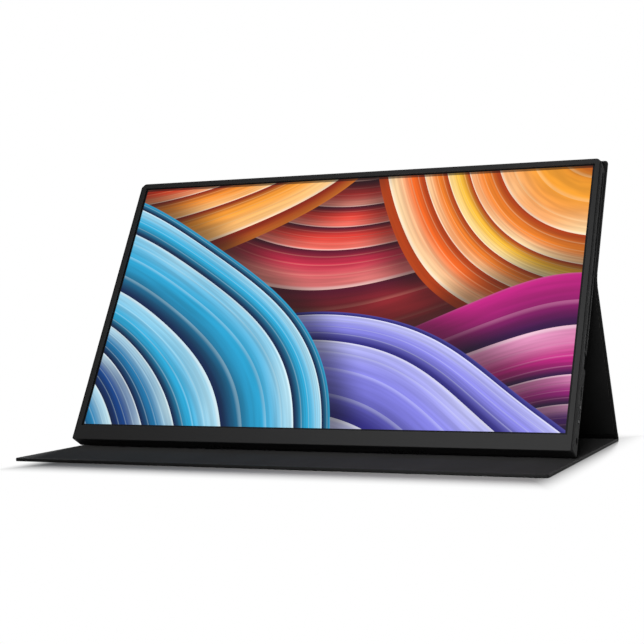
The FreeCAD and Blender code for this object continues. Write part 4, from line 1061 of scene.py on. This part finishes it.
def add_floor():
    """Pale floor that keeps the shadow close to the part and goes over to plain white away from it."""
    wanted = settings().stage
    leave_edit_mode()
    bpy.ops.mesh.primitive_plane_add(size=wanted.floor_size)
    floor = named("floor")
    material = bpy.data.materials.new("floor")
    material.use_nodes = True
    tree = material.node_tree
    tree.nodes.clear()
    place = tree.nodes.new("ShaderNodeTexCoord").outputs["Object"]
    across, along = add_node(tree, "ShaderNodeSeparateXYZ", {0: place}).outputs[:2]
    off_middle = calc(tree, "ABSOLUTE", calc(tree, "SUBTRACT", across, wanted.shadow_middle))
    aside = ramp_between(tree, off_middle, wanted.shadow_side, wanted.shadow_side_end)
    off_axis = calc(tree, "ABSOLUTE", along)
    ahead = ramp_between(tree, off_axis, wanted.shadow_front, wanted.shadow_front_end)
    clear = calc(tree, "MAXIMUM", aside, ahead)
    seen = seen_rays(tree)
    fade = calc(tree, "MULTIPLY", clear, seen)
    tint = mix_colours(tree, seen, wanted.floor_bounce, wanted.floor_colour)
    pale = add_node(tree, "ShaderNodeBsdfDiffuse", {"Color": tint}).outputs[0]
    white = add_node(tree, "ShaderNodeEmission", {"Strength": 1.0}).outputs[0]
    both = add_node(tree, "ShaderNodeMixShader", {0: fade, 1: pale, 2: white}).outputs[0]
    add_node(tree, "ShaderNodeOutputMaterial", {"Surface": both})
    dress(floor, material)


def add_sky():
    """White surroundings for the eye, and soft light from one side for the part."""
    wanted = settings().stage
    world = bpy.data.worlds.new("sky")
    bpy.context.scene.world = world
    world.use_nodes = True
    tree = world.node_tree
    tree.nodes.clear()
    way = tree.nodes.new("ShaderNodeTexCoord").outputs["Generated"]
    facing = measure(tree, "DOT_PRODUCT", way, SKY_FROM)
    soft = ramp_between(tree, facing, -0.1, 1.0, 0.0, wanted.sky_light)
    strength = calc(tree, "MAXIMUM", soft, seen_rays(tree))
    light = add_node(tree, "ShaderNodeBackground", {"Color": (1, 1, 1, 1), "Strength": strength}).outputs[0]
    add_node(tree, "ShaderNodeOutputWorld", {"Surface": light})


class MONITOR_OT_stage(bpy.types.Operator):
    """Sets up camera, lamps, floor and surroundings"""

    bl_idname = "monitor.stage"
    bl_label = "Stage"

    def execute(self, context):
        wanted = settings().stage
        leave_edit_mode()
        add_camera()
        add_lamp("key_lamp", *KEY_LAMP, wanted.key_power)
        add_lamp("top_lamp", *TOP_LAMP, wanted.top_power)
        add_floor()
        add_sky()
        context.scene.view_settings.view_transform = "Standard"
        return {"FINISHED"}


class MONITOR_PT_sidebar(bpy.types.Panel):
    """Lists the steps that dress the monitor"""

    bl_idname = "MONITOR_PT_sidebar"
    bl_label = "Portable Monitor"
    bl_space_type = "VIEW_3D"
    bl_region_type = "UI"
    bl_category = "Monitor"

    def draw(self, context):
        for step in STEPS:
            self.layout.operator(step.bl_idname)


STEPS = (
    MONITOR_OT_folio_skin,
    MONITOR_OT_folio_lining,
    MONITOR_OT_screen,
    MONITOR_OT_casing,
    MONITOR_OT_inner_parts,
    MONITOR_OT_stage,
)
GROUPS = (FolioSettings, CasingSettings, PictureSettings, StageSettings, MonitorSettings)
CLASSES = (*GROUPS, *STEPS, MONITOR_PT_sidebar)


def register():
    """Registers the classes and the scene's settings."""
    for item in CLASSES:
        bpy.utils.register_class(item)
    bpy.types.Scene.monitor = PointerProperty(type=MonitorSettings)


def unregister():
    """Takes the settings and classes away again."""
    del bpy.types.Scene.monitor
    for item in reversed(CLASSES):
        bpy.utils.unregister_class(item)


def main():
    """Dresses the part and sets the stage."""
    register()
    bpy.ops.monitor.folio_skin()
    bpy.ops.monitor.folio_lining()
    bpy.ops.monitor.screen()
    bpy.ops.monitor.casing()
    bpy.ops.monitor.inner_parts()
    bpy.ops.monitor.stage()


if __name__ == "__main__":
    main()
